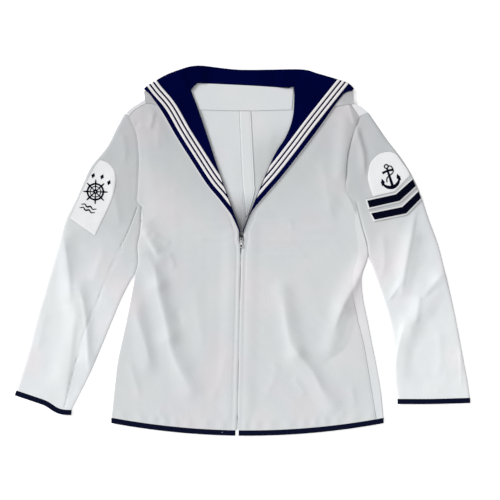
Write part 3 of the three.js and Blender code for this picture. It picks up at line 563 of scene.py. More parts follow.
def slab(grid, top, low):
    return wall(lift(grid, top), lift(grid, low))


def sheet(grid, under, thick, over=None):
    """A sheet of cloth on a grid of plane points."""
    low = under(grid)
    top = low + thick if over is None else over(grid)
    return slab(grid, top, low)


def piece(name, parts, material, nodes=(), sharp=50, body=BODY):
    """Joins closed parts into one object that rides on a body and stands for its CAD nodes."""
    mesh = bpy.data.meshes.new(name)
    points, faces, count = [], [], 0
    for part_points, part_faces in parts:
        points.append(part_points)
        faces += (part_faces + count).tolist()
        count += len(part_points)
    mesh.from_pydata((np.vstack(points) * MM).tolist(), [], faces)
    mesh.shade_smooth()
    mesh.set_sharp_from_angle(angle=math.radians(sharp))
    mesh.materials.append(material)
    obj = bpy.data.objects.new(name, mesh)
    bpy.context.scene.collection.objects.link(obj)
    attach(obj, body)
    if nodes:
        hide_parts(*nodes)
    return obj


def laid(name, parts, made, slot, flat, area, **more):
    """A cut piece of cloth that stands for the CAD node of its name. Its flat size, in metres, is not used.
    """
    obj = piece(f"{name}_cloth", parts, made, [name])


def turn_reach(path, low, high):
    """How far the round of a turned edge reaches in from the edge."""
    return (high(path) + WALL - low(path)) / 2


def turned(path, low, high, low_end, top_end=None, top_columns=4, reach=None):
    """Cloth that turns over an edge, from a leg below to a leg above, with the cloth on the path's left."""
    inward = normals(path)
    reach = turn_reach(path, low, high) if reach is None else reach
    heel = path + inward * reach[:, None]
    bottom, top = low(path), high(heel) + WALL

    def section(inset):
        below = ruled(low_end, heel, 5)[:, :-1]
        rows = [lift(below, low(below) + inset)]
        middle, half = (bottom + top) / 2, (top - bottom) / 2 - inset
        for angle in np.linspace(-math.pi / 2, math.pi / 2, 9):
            away = reach - math.cos(angle) * (reach - inset)
            at = path + inward * away[:, None]
            rows.append(lift(at, middle + math.sin(angle) * half)[:, None])
        if top_end is not None:
            above = ruled(heel, top_end, top_columns)[:, 1:]
            rows.append(lift(above, high(above) + WALL - inset))
        return np.concatenate(rows, axis=1)

    return wall(section(0), section(WALL))


# Materials

def material(name, colour, rough=0.9, specular=0.2, metallic=0.0):
    made = bpy.data.materials.new(name)
    made.use_nodes = True
    shader = made.node_tree.nodes["Principled BSDF"]
    shader.inputs["Base Color"].default_value = (*colour, 1)
    shader.inputs["Roughness"].default_value = rough
    shader.inputs["Specular IOR Level"].default_value = specular
    shader.inputs["Metallic"].default_value = metallic
    return made


def node(made, kind, sources=(), **values):
    """Adds a node, sets its inputs or properties by name, and links sources into its inputs."""
    added = made.node_tree.nodes.new(kind)
    for key, value in values.items():
        label = key.replace("_", " ").title()
        if label in added.inputs:
            added.inputs[label].default_value = value
        else:
            setattr(added, key, value)
    for place, source in dict(sources).items():
        made.node_tree.links.new(source, added.inputs[place])
    return added


def with_share(made, part, share, rest):
    """Adds a share of one value to another."""
    total = node(made, "ShaderNodeMath", {0: part, 2: rest}, operation="MULTIPLY_ADD")
    total.inputs[1].default_value = share
    return total.outputs["Value"]


WAVE_SCALE = 0.314


def woven(name, colour, pitch, angle, depth, rough=0.9, specular=0.12, tints=(), painted_shades=()):
    """Cloth with twill lines and crossing threads as a fine bump, and slow changes of tint.

    Painted shades, columns: x and y of a place, near and far distance from it, and the factor on the colour
    at each of the two: below 1 it paints shade, above 1 it paints light.
    """
    made = material(name, colour, rough, specular)
    at = {"Vector": node(made, "ShaderNodeTexCoord").outputs["Object"]}
    turn = node(made, "ShaderNodeMapping", at, Rotation=(0, 0, math.radians(angle)))
    turned_at = {"Vector": turn.outputs["Vector"]}
    period = WAVE_SCALE / pitch / MM
    lines = node(made, "ShaderNodeTexWave", turned_at, Scale=period, Distortion=0.6, Detail=1.0)
    cross = node(made, "ShaderNodeTexWave", turned_at, Scale=period * 1.6, Distortion=0.4,
                 bands_direction="Y")
    fuzz = node(made, "ShaderNodeTexNoise", at, Scale=900, Detail=3.0)
    threads = with_share(made, cross.outputs["Fac"], 0.4, lines.outputs["Fac"])
    height = {"Height": with_share(made, fuzz.outputs["Fac"], 0.7, threads)}
    bump = node(made, "ShaderNodeBump", height, Strength=0.5, Distance=depth * MM)
    finish = {"Normal": bump.outputs["Normal"]}
    if tints:
        spread = node(made, "ShaderNodeTexNoise", at, Scale=6, Detail=2.0)
        ramp = node(made, "ShaderNodeValToRGB", {"Fac": spread.outputs["Fac"]})
        while len(ramp.color_ramp.elements) < len(tints):
            ramp.color_ramp.elements.new(0.5)
        for k, tint in enumerate(tints):
            ramp.color_ramp.elements[k].position = 0.32 + 0.36 * k / (len(tints) - 1)
            ramp.color_ramp.elements[k].color = (*tint, 1)
        colour = ramp.outputs["Color"]
        # Painted shade and light: the colour is made darker or lighter with the distance from a place
        for x, y, near_by, far_off, near_painted_shade, far_painted_shade in painted_shades:
            away = node(made, "ShaderNodeVectorMath", {0: at["Vector"]}, operation="DISTANCE")
            away.inputs[1].default_value = (x * MM, y * MM, 0)
            factor = node(made, "ShaderNodeMapRange", {0: away.outputs["Value"]},
                          interpolation_type="SMOOTHSTEP", From_Min=near_by * MM, From_Max=far_off * MM,
                          To_Min=near_painted_shade, To_Max=far_painted_shade)
            scaled = {0: colour, "Scale": factor.outputs["Result"]}
            colour = node(made, "ShaderNodeVectorMath", scaled, operation="SCALE").outputs["Vector"]
        finish["Base Color"] = colour
    for place, source in finish.items():
        made.node_tree.links.new(source, made.node_tree.nodes["Principled BSDF"].inputs[place])
    return made


DRILL_TINTS = [(0.64, 0.62, 0.64), (0.61, 0.63, 0.65), (0.62, 0.64, 0.645), (0.655, 0.64, 0.66)]


def drill(name, painted_shades):
    return woven(name, (0.62, 0.63, 0.65), 1.3, 35, 0.16, tints=DRILL_TINTS, painted_shades=painted_shades)


# Painted shade: the fronts' colour darkens toward the shoulders and the collar
FRONT_CLOTH = drill("white_drill_cloth", [(0, 350, 190, 340, 0.76, 0.87)])
# Painted shade and light: the sleeves darken toward the shoulders and lighten toward the cuffs
SLEEVE_CLOTH = drill("white_drill_sleeve_cloth", [(0, 350, 300, 560, 0.74, 1.04)])
# Painted shade and light on the backs: a painted shadow deep in the V at its tip, painted shade right of the
# V, and painted light on the right shoulder
INSIDE_CLOTH = drill("white_drill_inside_cloth", [(0, 26, 8, 95, 0.22, 0.95), (80, 150, 30, 110, 0.78, 1.0),
                                                  (222, 270, 25, 60, 1.18, 1.0)])
# Painted shadow: the facing and the centre strip darken deep in the V toward its tip
FACING_CLOTH = drill("white_drill_facing_cloth", [(0, 26, 8, 95, 0.22, 0.97)])
# Painted shade: the lining darkens at the two lapel tips, beyond the shoulders
LINING = woven("white_lining_cloth", (0.68, 0.68, 0.7), 0.9, 0, 0.1,
               tints=[(0.67, 0.67, 0.69), (0.69, 0.69, 0.71)],
               painted_shades=[(-181, 293, 12, 50, 0.6, 1.0), (200, 295, 12, 50, 0.6, 1.0)])
PATCH = woven("badge_cloth", (0.7, 0.71, 0.72), 0.9, 45, 0.12)
TAPE = woven("white_tape_twill", (0.72, 0.70, 0.70), 1.0, 50, 0.25)
NAVY = woven("navy_serge", (0.0004, 0.0016, 0.034), 1.2, 40, 0.2, rough=1.0, specular=0.0,
             tints=[(0.0003, 0.0010, 0.022), (0.0006, 0.0022, 0.042)])
BINDING = woven("navy_binding_tape", (0.0016, 0.003, 0.016), 1.0, 20, 0.25, specular=0.06)
CHEVRON = woven("chevron_braid", (0.0008, 0.0014, 0.008), 1.1, 60, 0.3, specular=0.03)
WHITE_THREAD = material("white_thread", (0.6, 0.61, 0.63), rough=0.75)
NAVY_THREAD = material("navy_thread", (0.0016, 0.0035, 0.022), rough=0.7, specular=0.1)
ZIP_CLOTH = woven("zip_tape_cloth", (0.5, 0.5, 0.52), 0.8, 0, 0.15)
METAL = material("zip_metal", (0.9, 0.9, 0.92), rough=0.3, specular=0.5, metallic=1.0)
# Painted shade: the zip's teeth are nearly black, standing in for the shade in the slit between the fronts
TOOTH = material("zip_teeth", (0.07, 0.07, 0.075), rough=0.45, specular=0.5, metallic=1.0)
# Painted light: the zip tapes' ends are nearly white, much lighter than the tape, to cancel the shade in the
# gap between the hem bindings
TAIL_PAINTED_LIGHT = material("zip_tail_painted_light", (0.95, 0.95, 0.95), rough=1.0, specular=0.0)


def stitches(path, over, pitch=3.2, length=2.2, width=0.55, high=0.32):
    """A row of sewn stitches along a path, each a small grain of thread on the cloth."""
    run = run_of(path)
    count = max(int(run[-1] / pitch), 1)
    centre = (np.arange(count) + 0.5) * run[-1] / count
    start, middle, end = (at_run(path, run, centre + d) for d in (-length / 2, 0, length / 2))
    across = left_of(unit(end - start)) * width / 2
    level = over(middle)
    rows = [lift(start, over(start) - 0.05), lift(end, over(end) - 0.05),
            lift(middle + across, level + 0.1), lift(middle - across, level + 0.1),
            lift(middle, level + high), lift(middle, level - 0.15)]
    points = np.stack(rows, axis=1).reshape(-1, 3)
    grain = np.array([(0, 3, 4), (0, 4, 2), (0, 2, 5), (0, 5, 3), (1, 4, 3), (1, 2, 4), (1, 5, 2), (1, 3, 5)])
    faces = (grain[None] + 6 * np.arange(count)[:, None, None]).reshape(-1, 3)
    return points, faces


def sunk(edges, depth=0.5, reach=4.0):
    """How far cloth dips beside its sewn edges."""
    def drop(p):
        if not edges:
            return 0.0
        nearest = np.min([np.abs(near(p, edge)[0]) for edge in edges], axis=0)
        return depth * fade(0, reach, nearest)
    return drop


# Body edges. The fronts, backs and sleeves share them
def above(rows, distance):
    """An outline whose first row is moved to stand above the hem."""
    x = rows[0][0]
    return [(x, hem_y(x) + distance)] + rows[1:]


def hem_line(start, end, count, distance):
    x = np.linspace(start, end, count)
    return np.stack([x, hem_y(x) + distance], axis=1)


HEM_TOP = BINDING_WIDTH + SEAM


def arm_line(side, fine):
    return along(ARMHOLE[side] + SHOULDER_SEAM[side][:1], 8 * fine + 1)


def neck_line(side, fine):
    out_rows, in_rows, hand = LAPELS[side]
    return offset(along(in_rows, 8 * fine + 1, 0.02), hand * -2.5)


def shoulder_line(side, count):
    return along(SHOULDER_SEAM[side][:-1] + [tuple(neck_line(side, 4)[-1])], count)


def zip_edge(side, fine):
    """A front's edge, from the hem up beside the zip and on beneath the lapel."""
    hand = HANDS[side]
    rows = np.array(ZIP_OPENING)
    column = 1 if hand < 0 else 2

    def open_at(y):
        return by_zip(y, hand * np.interp(y, rows[:, 0], rows[:, column]))

    low = hem_y(zip_x(-340)) + HEM_TOP
    plain = open_at(np.linspace(low, NOTCH_FOOT, 10 * fine + 1))
    neck = neck_line(side, fine)
    notch = open_at(np.linspace(NOTCH_FOOT, NOTCH_HEAD, 3 * fine + 1))
    corner = np.stack([np.linspace(notch[-1, k], neck[0, k], fine + 1) for k in (0, 1)], axis=1)
    return joined(plain, notch, corner, neck)


def placket(side):
    """The roll of cloth beside the zip, and the dip and puckers of its stitch line."""
    path = zip_edge(side, 4)
    path = path[path[:, 1] < 90]

    def rise(p):
        away = np.abs(near(p, path)[0])
        y = p[..., 1]
        dip = 0.85 * np.exp(-((away - ZIP_STITCH) / 1.2)**2)
        roll = 0.35 * smooth(0.5, 2, away) * fade(4.5, 7, away)
        pucker = 0.16 * np.sin(y / 1.9 + 2.2 * np.sin(y / 13)) * np.exp(-((away - ZIP_STITCH) / 3.2)**2)
        return (roll - dip + pucker) * fade(50, 90, y)
    return rise


def front(side):
    """One front: its panel, and on the left the edge that turns under."""
    under = front_under(side)
    arm = arm_line(side, FRONT_FINE)
    zip_side = zip_edge(side, FRONT_FINE)
    columns = 84
    parts = []
    if side == "left":
        path = along(above(LEFT_SIDE, HEM_TOP), 14 * FRONT_FINE + 1)
        taper = fade(0.93, 1, np.linspace(0, 1, len(path)))
        reach = turn_reach(path, back_under, under) * taper
        lap = WELD * taper
        outer = joined(offset(path, -reach - lap), arm)
        keep = slice(0, -FRONT_FINE)
        edge = path[keep][::-1]
        reach, lap = reach[keep][::-1], lap[keep][::-1]
        parts.append(turned(edge, GROUND, under, offset(edge, LEFT_TURN), offset(edge, reach + lap), 3,
                            reach=reach))
        edges = [outer, zip_side]
        seams = [arm, shoulder_line(side, 60)]
    else:
        seam = along(above(RIGHT_SIDE_SEAM, HEM_TOP), 14 * FRONT_FINE + 1)
        seam = offset(seam, SEAM - 2 * SEAM * smooth(-110, -80, seam[:, 1]))
        edges = [zip_side, joined(seam, arm)]
        seams = [arm, shoulder_line(side, 60), seam[seam[:, 1] < -84]]
    low = hem_line(edges[0][0, 0], edges[1][0, 0], columns, HEM_TOP)
    grid = patch(*edges, low, shoulder_line(side, columns)[::-HANDS[side]])
    dip = sunk([line[::3] for line in seams])
    zip_dip = sunk([zip_side[:14 * FRONT_FINE:2]], 0.4, 1.5)
    beside_zip = placket(side)

    def over(p):
        return under(p) + WALL - dip(p) - zip_dip(p) + beside_zip(p)

    parts.append(sheet(grid, under, WALL, over))
    return parts, over


FRONT_OVER = {}
for side in HANDS:
    parts, FRONT_OVER[side] = front(side)
    area = {"left": 0.121, "right": 0.126}[side]
    laid(f"front_{side}", parts, FRONT_CLOTH, "white_drill", (0.26, 0.67), area,
         rests_on=[f"back_{side}_cloth"])


def back(side):
    """One back: its panel, and the cloth that turns over the shoulder and over the right edge."""
    fine = BACK_FINE
    hand = HANDS[side]
    arm = arm_line(side, fine)
    level = front_under(side)
    if side == "left":
        path = offset(along(above(LEFT_SIDE, HEM_TOP), 14 * fine + 1), -LEFT_TURN - 2 * SEAM)
        neck = [(-102, 325), (-86, 311.5), (-69, 316), (-24, 315), (3 - SEAM / 2, 314)]
    else:
        edge = along(above(RIGHT_SIDE, HEM_TOP), 14 * fine + 1)
        path = offset(edge, turn_reach(edge, back_under, level))
        neck = [(100, 325), (87, 308), (70, 310), (33, 312), (3 + SEAM / 2, 314)]
    # the panel stops where the round of the shoulder begins
    fold = along(SHOULDER_EDGE[side][::-1], 41, 0, 0.985)[::-hand]
    fold_reach = turn_reach(fold, back_under, level)
    heel = offset(fold, fold_reach)[::hand]
    neck[0] = tuple(heel[-1])
    side_edge = joined(path, arm, np.vstack([arm[-1], heel[0]]))
    middle_x = np.array([-5, 3]) + hand * SEAM / 2
    middle = along([(middle_x[0], hem_y(-5) + HEM_TOP), (middle_x[1], 314)], len(side_edge))
    top = joined(heel, along(neck, 21))
    bottom = hem_line(side_edge[0, 0], middle_x[0], len(top), HEM_TOP)
    grid = patch(side_edge, middle, bottom, top)
    parts = [sheet(grid, back_under, WALL)]
    seam = offset(shoulder_line(side, 41), -hand * 2 * SEAM)[::hand]
    parts.append(turned(fold, back_under, level, offset(fold, fold_reach + 0.5), seam, 6))
    if side == "right":
        side_seam = offset(along(above(RIGHT_SIDE_SEAM, HEM_TOP), 14 * fine + 1), -SEAM)
        keep = slice(0, -fine // 2)
        parts.append(turned(edge[keep], back_under, level, offset(path, 0.5)[keep], side_seam[keep], 8))
    return parts


for side in HANDS:
    area = {"left": 0.136, "right": 0.159}[side]
    laid(f"back_{side}", back(side), INSIDE_CLOTH, "white_drill", (0.30, 0.70), area)


# Sleeves and cuff bindings: flattened tubes, round at both long edges
SLEEVE_EDGES = {
    "left": (LEFT_SLEEVE_OUT, LEFT_SLEEVE_IN, LEFT_CUFF),
    "right": (RIGHT_SLEEVE_OUT, RIGHT_SLEEVE_IN, RIGHT_CUFF),
}
SLEEVE_ROUND = 6


def edge_round(side):
    """How full a sleeve stands beside its long edges, from 0 at the edge to 1."""
    out_rows, in_rows, _ = SLEEVE_EDGES[side]
    edges = [along(out_rows, 70), along(in_rows, 70)]

    def full(p):
        nearest = np.min([np.abs(near(p, edge)[0]) for edge in edges], axis=0)
        t = np.clip(nearest / SLEEVE_ROUND, 0, 1)
        return np.sqrt(np.clip(1 - (1 - t)**2, 0, 1))
    return full


def sleeve_over(side):
    rise, full = sleeve_rise(side), edge_round(side)
    dip = sunk([arm_line(side, 6)], 0.6, 5)
    seam = sunk([along(LEFT_UNDERARM_SEAM, 40)] if side == "left" else [], 1.3, 2.3)

    def level(p):
        return rise(p) * (1 + full(p)) / 2 - dip(p) - seam(p)
    return level


def even(count):
    """Places from 0 to 1 that crowd toward both ends."""
    t = np.linspace(0, 1, count)
    return t - 0.11 * np.sin(2 * math.pi * t)


def spread(path, places):
    return at_run(path, np.linspace(0, 1, len(path)), places)


def tube(grid, over, thick):
    """A flat tube on a grid of plane points, lying on the ground."""
    top = over(grid)
    edges = grid[:, :1], grid[:, -1:]
    reach = np.min([np.hypot(*(grid - edge).transpose(2, 0, 1)) for edge in edges], axis=0)
    t = np.clip(reach / SLEEVE_ROUND, 0, 1)
    low = top[:, :1] * (1 - np.sqrt(1 - (1 - t)**2)) * 0.9
    inset = grid.copy()
    for edge, inward in ((0, 1), (-1, -2)):
        inset[:, edge] += unit(grid[:, inward] - grid[:, edge]) * thick
    middle = (top + low) / 2
    inner_top = np.maximum(top - thick, middle + 0.05)
    inner_low = np.minimum(low + thick, middle - 0.05)
    outer, inner = (np.concatenate([lift(flat, high), lift(flat, foot)[:, -2:0:-1]], axis=1)
                    for flat, high, foot in ((grid, top, low), (inset, inner_top, inner_low)))
    return wall(outer, inner, ring=True)


def sleeve_grid(side, rows, columns):
    out_rows, in_rows, cuff = SLEEVE_EDGES[side]
    hand = HANDS[side]
    places = even(columns)
    arm_rows = SHOULDER_EDGE[side][:1] + [tuple(p) for p in arm_line(side, 2)[::-1]]
    arm = offset(along(arm_rows, 120), hand * SEAM)
    arm[-1] = (arm[-1, 0] + hand * 1.5, arm[-1, 1] - 1.5)
    low = spread(along(cuff, 120), places)
    top = spread(arm, places)
    outer, inner = along(out_rows, rows), along(in_rows, rows)
    outer[0], outer[-1], inner[0], inner[-1] = low[0], top[0], low[-1], top[-1]
    return patch(outer, inner, low, top)


SLEEVE_OVER = {side: sleeve_over(side) for side in HANDS}
for side, hand in HANDS.items():
    parts = [tube(sleeve_grid(side, 190, 60), SLEEVE_OVER[side], THIN)]
    laid(f"sleeve_{side}", parts, SLEEVE_CLOTH, "white_drill", (0.36, 0.63), 0.132)
    cuff = SLEEVE_EDGES[side][2]
    top = offset(spread(along(cuff, 120), even(60)), hand * SEAM)
    band = np.stack([offset(top, hand * d) for d in (9.6, 8.6, 6, 3.5, 1, 0)])

    def cuff_over(p, side=side, top=top):
        rim = np.abs(near(p, top)[0])
        swell = smooth(0, 1.5, rim) * fade(8.2, 9.7, rim)
        return SLEEVE_OVER[side](p) + 0.2 + 0.6 * swell
    parts = [tube(band, cuff_over, THIN)]
    area = {"left": 0.0025, "right": 0.0029}[side]
    laid(f"cuff_binding_{side}", parts, BINDING, "navy_binding", (0.29, 0.012), area)


# Hem bindings: folded bands in line with the cloth they finish
def hem_band(start, end, level, columns):
    x = start + (end - start) * even(columns)
    steps = (0, 0.5, 1.5, 3, 5, 6.6, 7.4, 8.2, 9, 9.6, BINDING_WIDTH)
    grid = np.stack([np.stack([x, hem_y(x) + d], axis=1) for d in steps])
    x = grid[..., 0]
    across = (grid[..., 1] - hem_y(x)) / BINDING_WIDTH
    full = np.sqrt(np.clip(1 - (2 * across - 1)**4, 0, 1))
    ends = np.minimum(smooth(-0.2, 2.5, x - start), smooth(-0.2, 2.5, end - x))
    bulge = (BINDING_WALL / 2) * full * (0.4 + 0.6 * ends) * (1 + 0.07 * np.sin(x / 6.3 + np.sin(x / 17)))
    bulge = bulge - 0.25 * np.exp(-((across - 0.82) / 0.06)**2)
    middle = level + BINDING_WALL / 2
    return slab(grid, middle + bulge, middle - (BINDING_WALL / 2) * np.maximum(full, 0.3))


BAND_ACROSS = 0.0108
zip_at_hem = zip_x(-341)
HEM_BANDS = {
    "hem_binding_front_left": (HEM_LEFT, zip_at_hem - 3.3, BINDING_WALL + SEAM, 90, 0.24),
    "hem_binding_front_right": (zip_at_hem + 3.1, HEM_RIGHT - 1, BINDING_WALL + SEAM, 90, 0.28),
    "hem_binding_back": (HEM_LEFT + 2.5, HEM_RIGHT - 2.5, 0, 120, 0.52),
}
for name, (start, end, level, columns, length) in HEM_BANDS.items():
    parts = [hem_band(start, end, level, columns)]
    laid(name, parts, BINDING, "navy_binding", (length, 0.012), length * BAND_ACROSS)


# Inside of the back neck: the facing and the strip over the centre-back seam
def inner_under(p):
    return back_over(p) + back_relief(p) + SEAM


neck_seam = along(NECK_SEAM, 105)
facing_top = offset(neck_seam, -2 * SEAM)
facing_grid = ruled(along(FACING_LOW, 105), facing_top, 14).transpose(1, 0, 2)
facing_dip = sunk([facing_top[::4]], 0.5, 3)


def facing_over(p):
    return inner_under(p) + THIN - facing_dip(p)


strip_edges = [along(STRIP_LEFT, 60), along(STRIP_RIGHT, 60)]
strip_grid = ruled(*strip_edges, 25)


def strip_over(p):
    left, right = (np.abs(near(p, edge)[0]) for edge in strip_edges)
    grooves = 0.75 * np.exp(-((left - 1.6) / 0.8)**2) + 0.4 * np.exp(-((right - 1.6) / 0.8)**2)
    return inner_under(p) + THIN - grooves


parts = [sheet(facing_grid, inner_under, THIN, facing_over)]
laid("back_neck_facing", parts, FACING_CLOTH, "white_drill", (0.20, 0.052), 0.0087)
parts = [sheet(strip_grid, inner_under, THIN, strip_over)]
laid("back_centre_strip", parts, FACING_CLOTH, "white_drill", (0.024, 0.203), 0.0040)


# Collar: lapels and neck band above, the turn at the top, and the flap that lies under the back
def collar():
    fine = COLLAR_FINE
    fold = along(COLLAR_FOLD, 13 * fine + 1)
    turn = fold[::-1]
    reach = turn_reach(turn, GROUND, collar_under)
    lap = turn + normals(turn) * (reach[:, None] + WELD)
    heel = lap[::-1]
    lapels = {}
    for side, (out_rows, in_rows, _) in LAPELS.items():
        outer = along(out_rows, 12 * fine + 1)
        corner = heel[0] if side == "left" else heel[-1]
        outer = outer + (corner - outer[-1]) * smooth(0.9, 1, np.linspace(0, 1, len(outer)))[:, None]
        lapels[side] = (outer, along(in_rows, 12 * fine + 1))
    outer = joined(lapels["left"][0], heel, lapels["right"][0][::-1])
    inner = joined(lapels["left"][1], offset(along(NECK_SEAM, 13 * fine + 1), SEAM), lapels["right"][1][::-1])
    grid = ruled(inner, outer, 24)
    rim = sunk([outer[::4], inner[::4]], 0.35, 2.5)

    def over(p):
        return collar_over(p) - rim(p) * fade(290, 312, p[..., 1])

    flap_low = along([(-150, FLAP_BOTTOM), (155, FLAP_BOTTOM)], len(turn))[::-1]
    return [sheet(grid, collar_under, WALL, over),
            turned(turn, GROUND, collar_under, flap_low, lap, 3, reach=reach)], over


collar_parts, collar_top = collar()
collar_piece = piece("collar_cloth", collar_parts, NAVY, ["collar"])


# White lining of the lapels, a little wider than the navy
LINING_TIPS = {"left": (0.885, [(-184.5, 281), (-186.5, 303)]), "right": (0.855, [(211, 279), (210.6, 303)])}


def lining_level(side):
    """The lining lies on the front, and beyond the shoulder it slopes down behind the lapel's tip."""
    front_top = FRONT_OVER[side]
    out_rows, _, hand = LAPELS[side]
    edge = along(out_rows, 60)

    def level(p):
        beyond = smooth(1, 18, -hand * near(p, edge)[0])
        slope = 2.2 * smooth(285, 300, p[..., 1]) * beyond
        return np.maximum(lining_under(p), np.minimum(front_top(p) + 0.1, lining_under(p) + 1.2)) - slope
    return level


for side, (out_rows, in_rows, hand) in LAPELS.items():
    stop, tip = LINING_TIPS[side]
    edge = offset(along(out_rows, 90, 0.1, stop), -hand * LINING_PROUD)
    outer = paced(np.vstack([edge, tip]), np.linspace(0, 1, 120))
    inner = offset(along(in_rows, 120, 0.1, 0.965), hand * -SEAM)
    parts = [sheet(ruled(inner, outer, 16), lining_level(side), THIN)]
    laid(f"collar_lining_{side}", parts, LINING, "white_tape", (0.095, 0.34), 0.0115)


# Tapes: each runs beside the lapel's outer edge until the inner edge cuts it off
TAPE_TOPS = {"left": [(-177.5, 293.5), (-203, 328)], "right": [(193, 293.5), (227, 335)]}
fold_line = along(COLLAR_FOLD, 120)


def tape_edge(side, distance):
    out_rows, in_rows, hand = LAPELS[side]
    rows = out_rows[:-2] + TAPE_TOPS[side]
    dense = offset(along(rows, 700), hand * distance)
    inner = along(in_rows, 240)
    order = np.argsort(inner[:, 1])
    inner_x = np.interp(dense[:, 1], inner[order, 1], inner[order, 0])
    fold_y = np.interp(dense[:, 0], fold_line[:, 0], fold_line[:, 1])
    kept = dense[(hand * (dense[:, 0] - inner_x) > 1.2) & (dense[:, 1] < fold_y - 0.3)]
    return paced(kept, np.concatenate([np.linspace(0, 0.98, 126), np.linspace(0.98, 1, 9)[1:]]))


def tape_under(p):
    """The collar's surface, down the round of its fold."""
    top = collar_over(p)
    reach = top / 2
    away = np.clip(np.abs(near(p, fold_line)[0]) / reach, 0, 1)
    return top + 0.12 - reach * (1 - np.sqrt(1 - (1 - away)**2))


def tape_grid(side, start):
    return ruled(tape_edge(side, start), tape_edge(side, start + TAPE_WIDTH), 6)


TAPE_THICK = 0.8
for side in HANDS:
    for k, start in enumerate(TAPE_STARTS):
        grid = tape_grid(side, start)
        full = np.array([0.45, 0.95, 1, 1, 0.95, 0.45]) * TAPE_THICK
        low = tape_under(grid)
        parts = [slab(grid, low + full, low - 0.1)]
        name = f"collar_tape_{side}_{k + 1}"
        piece(f"{name}_cloth", parts, TAPE, [name], sharp=80)


# Badges and chevrons on the sleeves
BADGE_FOOT = {"left": [(-280, 29), (-327, 62)], "right": [(248, 103), (289, 113), (318, 143)]}


def on_sleeve(side, extra=0.0):
    return lambda p: SLEEVE_OVER[side](p) + 0.15 + extra


BADGES = {"left": (LEFT_BADGE_IN, LEFT_BADGE_OUT), "right": (RIGHT_BADGE_IN, RIGHT_BADGE_OUT)}
for side, (in_rows, out_rows) in BADGES.items():
    left_edge, right_edge = along(in_rows, 60), along(out_rows, 60)
    foot = np.array(BADGE_FOOT[side], float)
    top = np.stack([left_edge[-1], right_edge[-1]])
    grid = patch(left_edge, right_edge, paced(foot, np.linspace(0, 1, 36)), paced(top, np.linspace(0, 1, 36)))
    rim = sunk([left_edge, foot], 0.5, 2.0)
    under = on_sleeve(side)
    parts = [sheet(grid, under, THIN, lambda p, under=under, rim=rim: under(p) + THIN - rim(p))]
    laid(f"badge_{side}", parts, PATCH, "white_tape", (0.08, 0.16), {"left": 0.0067, "right": 0.0046}[side])


def chevron_grid(rows, edge):
    def line(points):
        start, elbow, finish = (np.array(p, float) for p in points)
        go, come = unit(start - elbow), unit(finish - elbow)
        finish = finish + come * min(edge, 0.5)
        return joined(np.linspace(start + go * edge, elbow, 24), np.linspace(elbow, finish, 16))
    return ruled(offset(line(rows[1]), -edge), offset(line(rows[0]), edge), 8)


for name, rows in CHEVRONS.items():
    backing = sheet(chevron_grid(rows, CHEVRON_EDGE), on_sleeve("right", 0.9), 0.9)
    laid(f"chevron_backing_{name}", [backing], PATCH, "white_tape", (0.11, 0.024), 0.0021)
    braid = sheet(chevron_grid(rows, 0), on_sleeve("right", 1.9), 0.9)
    laid(f"chevron_{name}", [braid], CHEVRON, "navy_binding", (0.10, 0.016), 0.0013)


# Zip: two tapes, the teeth, the box at the foot, the slider and its pull tab
ZIP_FOOT, ZIP_HEAD = -328.6, 18.7
ZIP_LEVEL = WALL + SEAM


def box(centre, size, taper=1.0):
    """A block whose top may be smaller than its foot."""
    x, y, z = np.array(size) / 2
    corners = np.array([(-x, -y), (x, -y), (x, y), (-x, y)])
    points = np.vstack([lift(corners, -z), lift(corners * taper, z)])
    faces = np.array([(3, 2, 1, 0), (4, 5, 6, 7), (0, 1, 5, 4), (1, 2, 6, 5), (2, 3, 7, 6), (3, 0, 4, 7)])
    return points + np.array(centre), faces


def zip_tape(hand):
    y = np.linspace(ZIP_FOOT, ZIP_HEAD, 90)
    inner, outer = by_zip(y, hand * 2.3), by_zip(y, hand * 14.3)
    grid = ruled(inner, outer, 8) if hand > 0 else ruled(outer, inner, 8)
    return sheet(grid, inner_under, 0.8)


def tape_tail(hand):
    """A zip tape's end, which covers the back's binding in the gap between the fronts."""
    y = np.linspace(-351.6, ZIP_FOOT + 2, 16)
    grid = ruled(by_zip(y, hand * 0.1), by_zip(y, hand * 2.9), 4)

    def under(p):
        return inner_under(p) + (BINDING_WALL - WALL) * fade(9.5, 13, above_hem(p))
    return sheet(grid, under, 1.2)


for side, hand in HANDS.items():
    tape = piece(f"zip_tape_{side}_cloth", [zip_tape(hand)], ZIP_CLOTH, [f"zip_tape_{side}"])
    tail = piece(f"zip_tail_{side}_cloth", [tape_tail(hand)], TAIL_PAINTED_LIGHT)

TOOTH_PITCH = 1.5
teeth = []
for k, y in enumerate(np.arange(ZIP_FOOT + 0.6, ZIP_HEAD - 0.6, TOOTH_PITCH / 2)):
    hand = 1 if k % 2 else -1
    teeth.append(box((zip_x(y) + hand * 0.7, y, ZIP_LEVEL + 0.8), (2.6, 0.62, 1.2), 0.85))
piece("zip_teeth", teeth, TOOTH, ["zip_chain"], sharp=20)

box_y = ZIP_FOOT - SEAM - 4
piece("zip_box_metal", [box((zip_x(box_y), box_y, ZIP_LEVEL + 0.75), (4.6, 8, 1.5), 0.9)], METAL,
      ["zip_box"], sharp=20)


# Slider: two plates joined by a post, with a bridge on top, and the pull tab that hangs on the bridge
SLIDER_Y, SLIDER_LOW, PLATE, APART = 24.5, 1.4, 1.2, 1.6
HINGE_LEVEL = 6.35


def plate(outline, hole, low, high, soft=0.25):
    """A flat plate with a hole, its outer edges a little rounded."""
    outline, hole = np.array(outline, float), np.array(hole, float)
    inward = unit(outline.mean(0) - outline)
    levels = [(low, soft), (low + soft, 0), (high - soft, 0), (high, soft)]
    outer = [lift(outline + inward * inset, level) for level, inset in levels]
    inner = [lift(hole, level) for level, _ in levels]
    return wall(np.stack(outer), np.stack(inner), ring=True)


def loop_of(points, count=48):
    """Evenly spaced points round a closed outline."""
    closed = np.vstack([points, points[:1]])
    return paced(closed, np.arange(count) / count)


def at_slider(points):
    return np.array(points, float) + (zip_x(SLIDER_Y), SLIDER_Y)


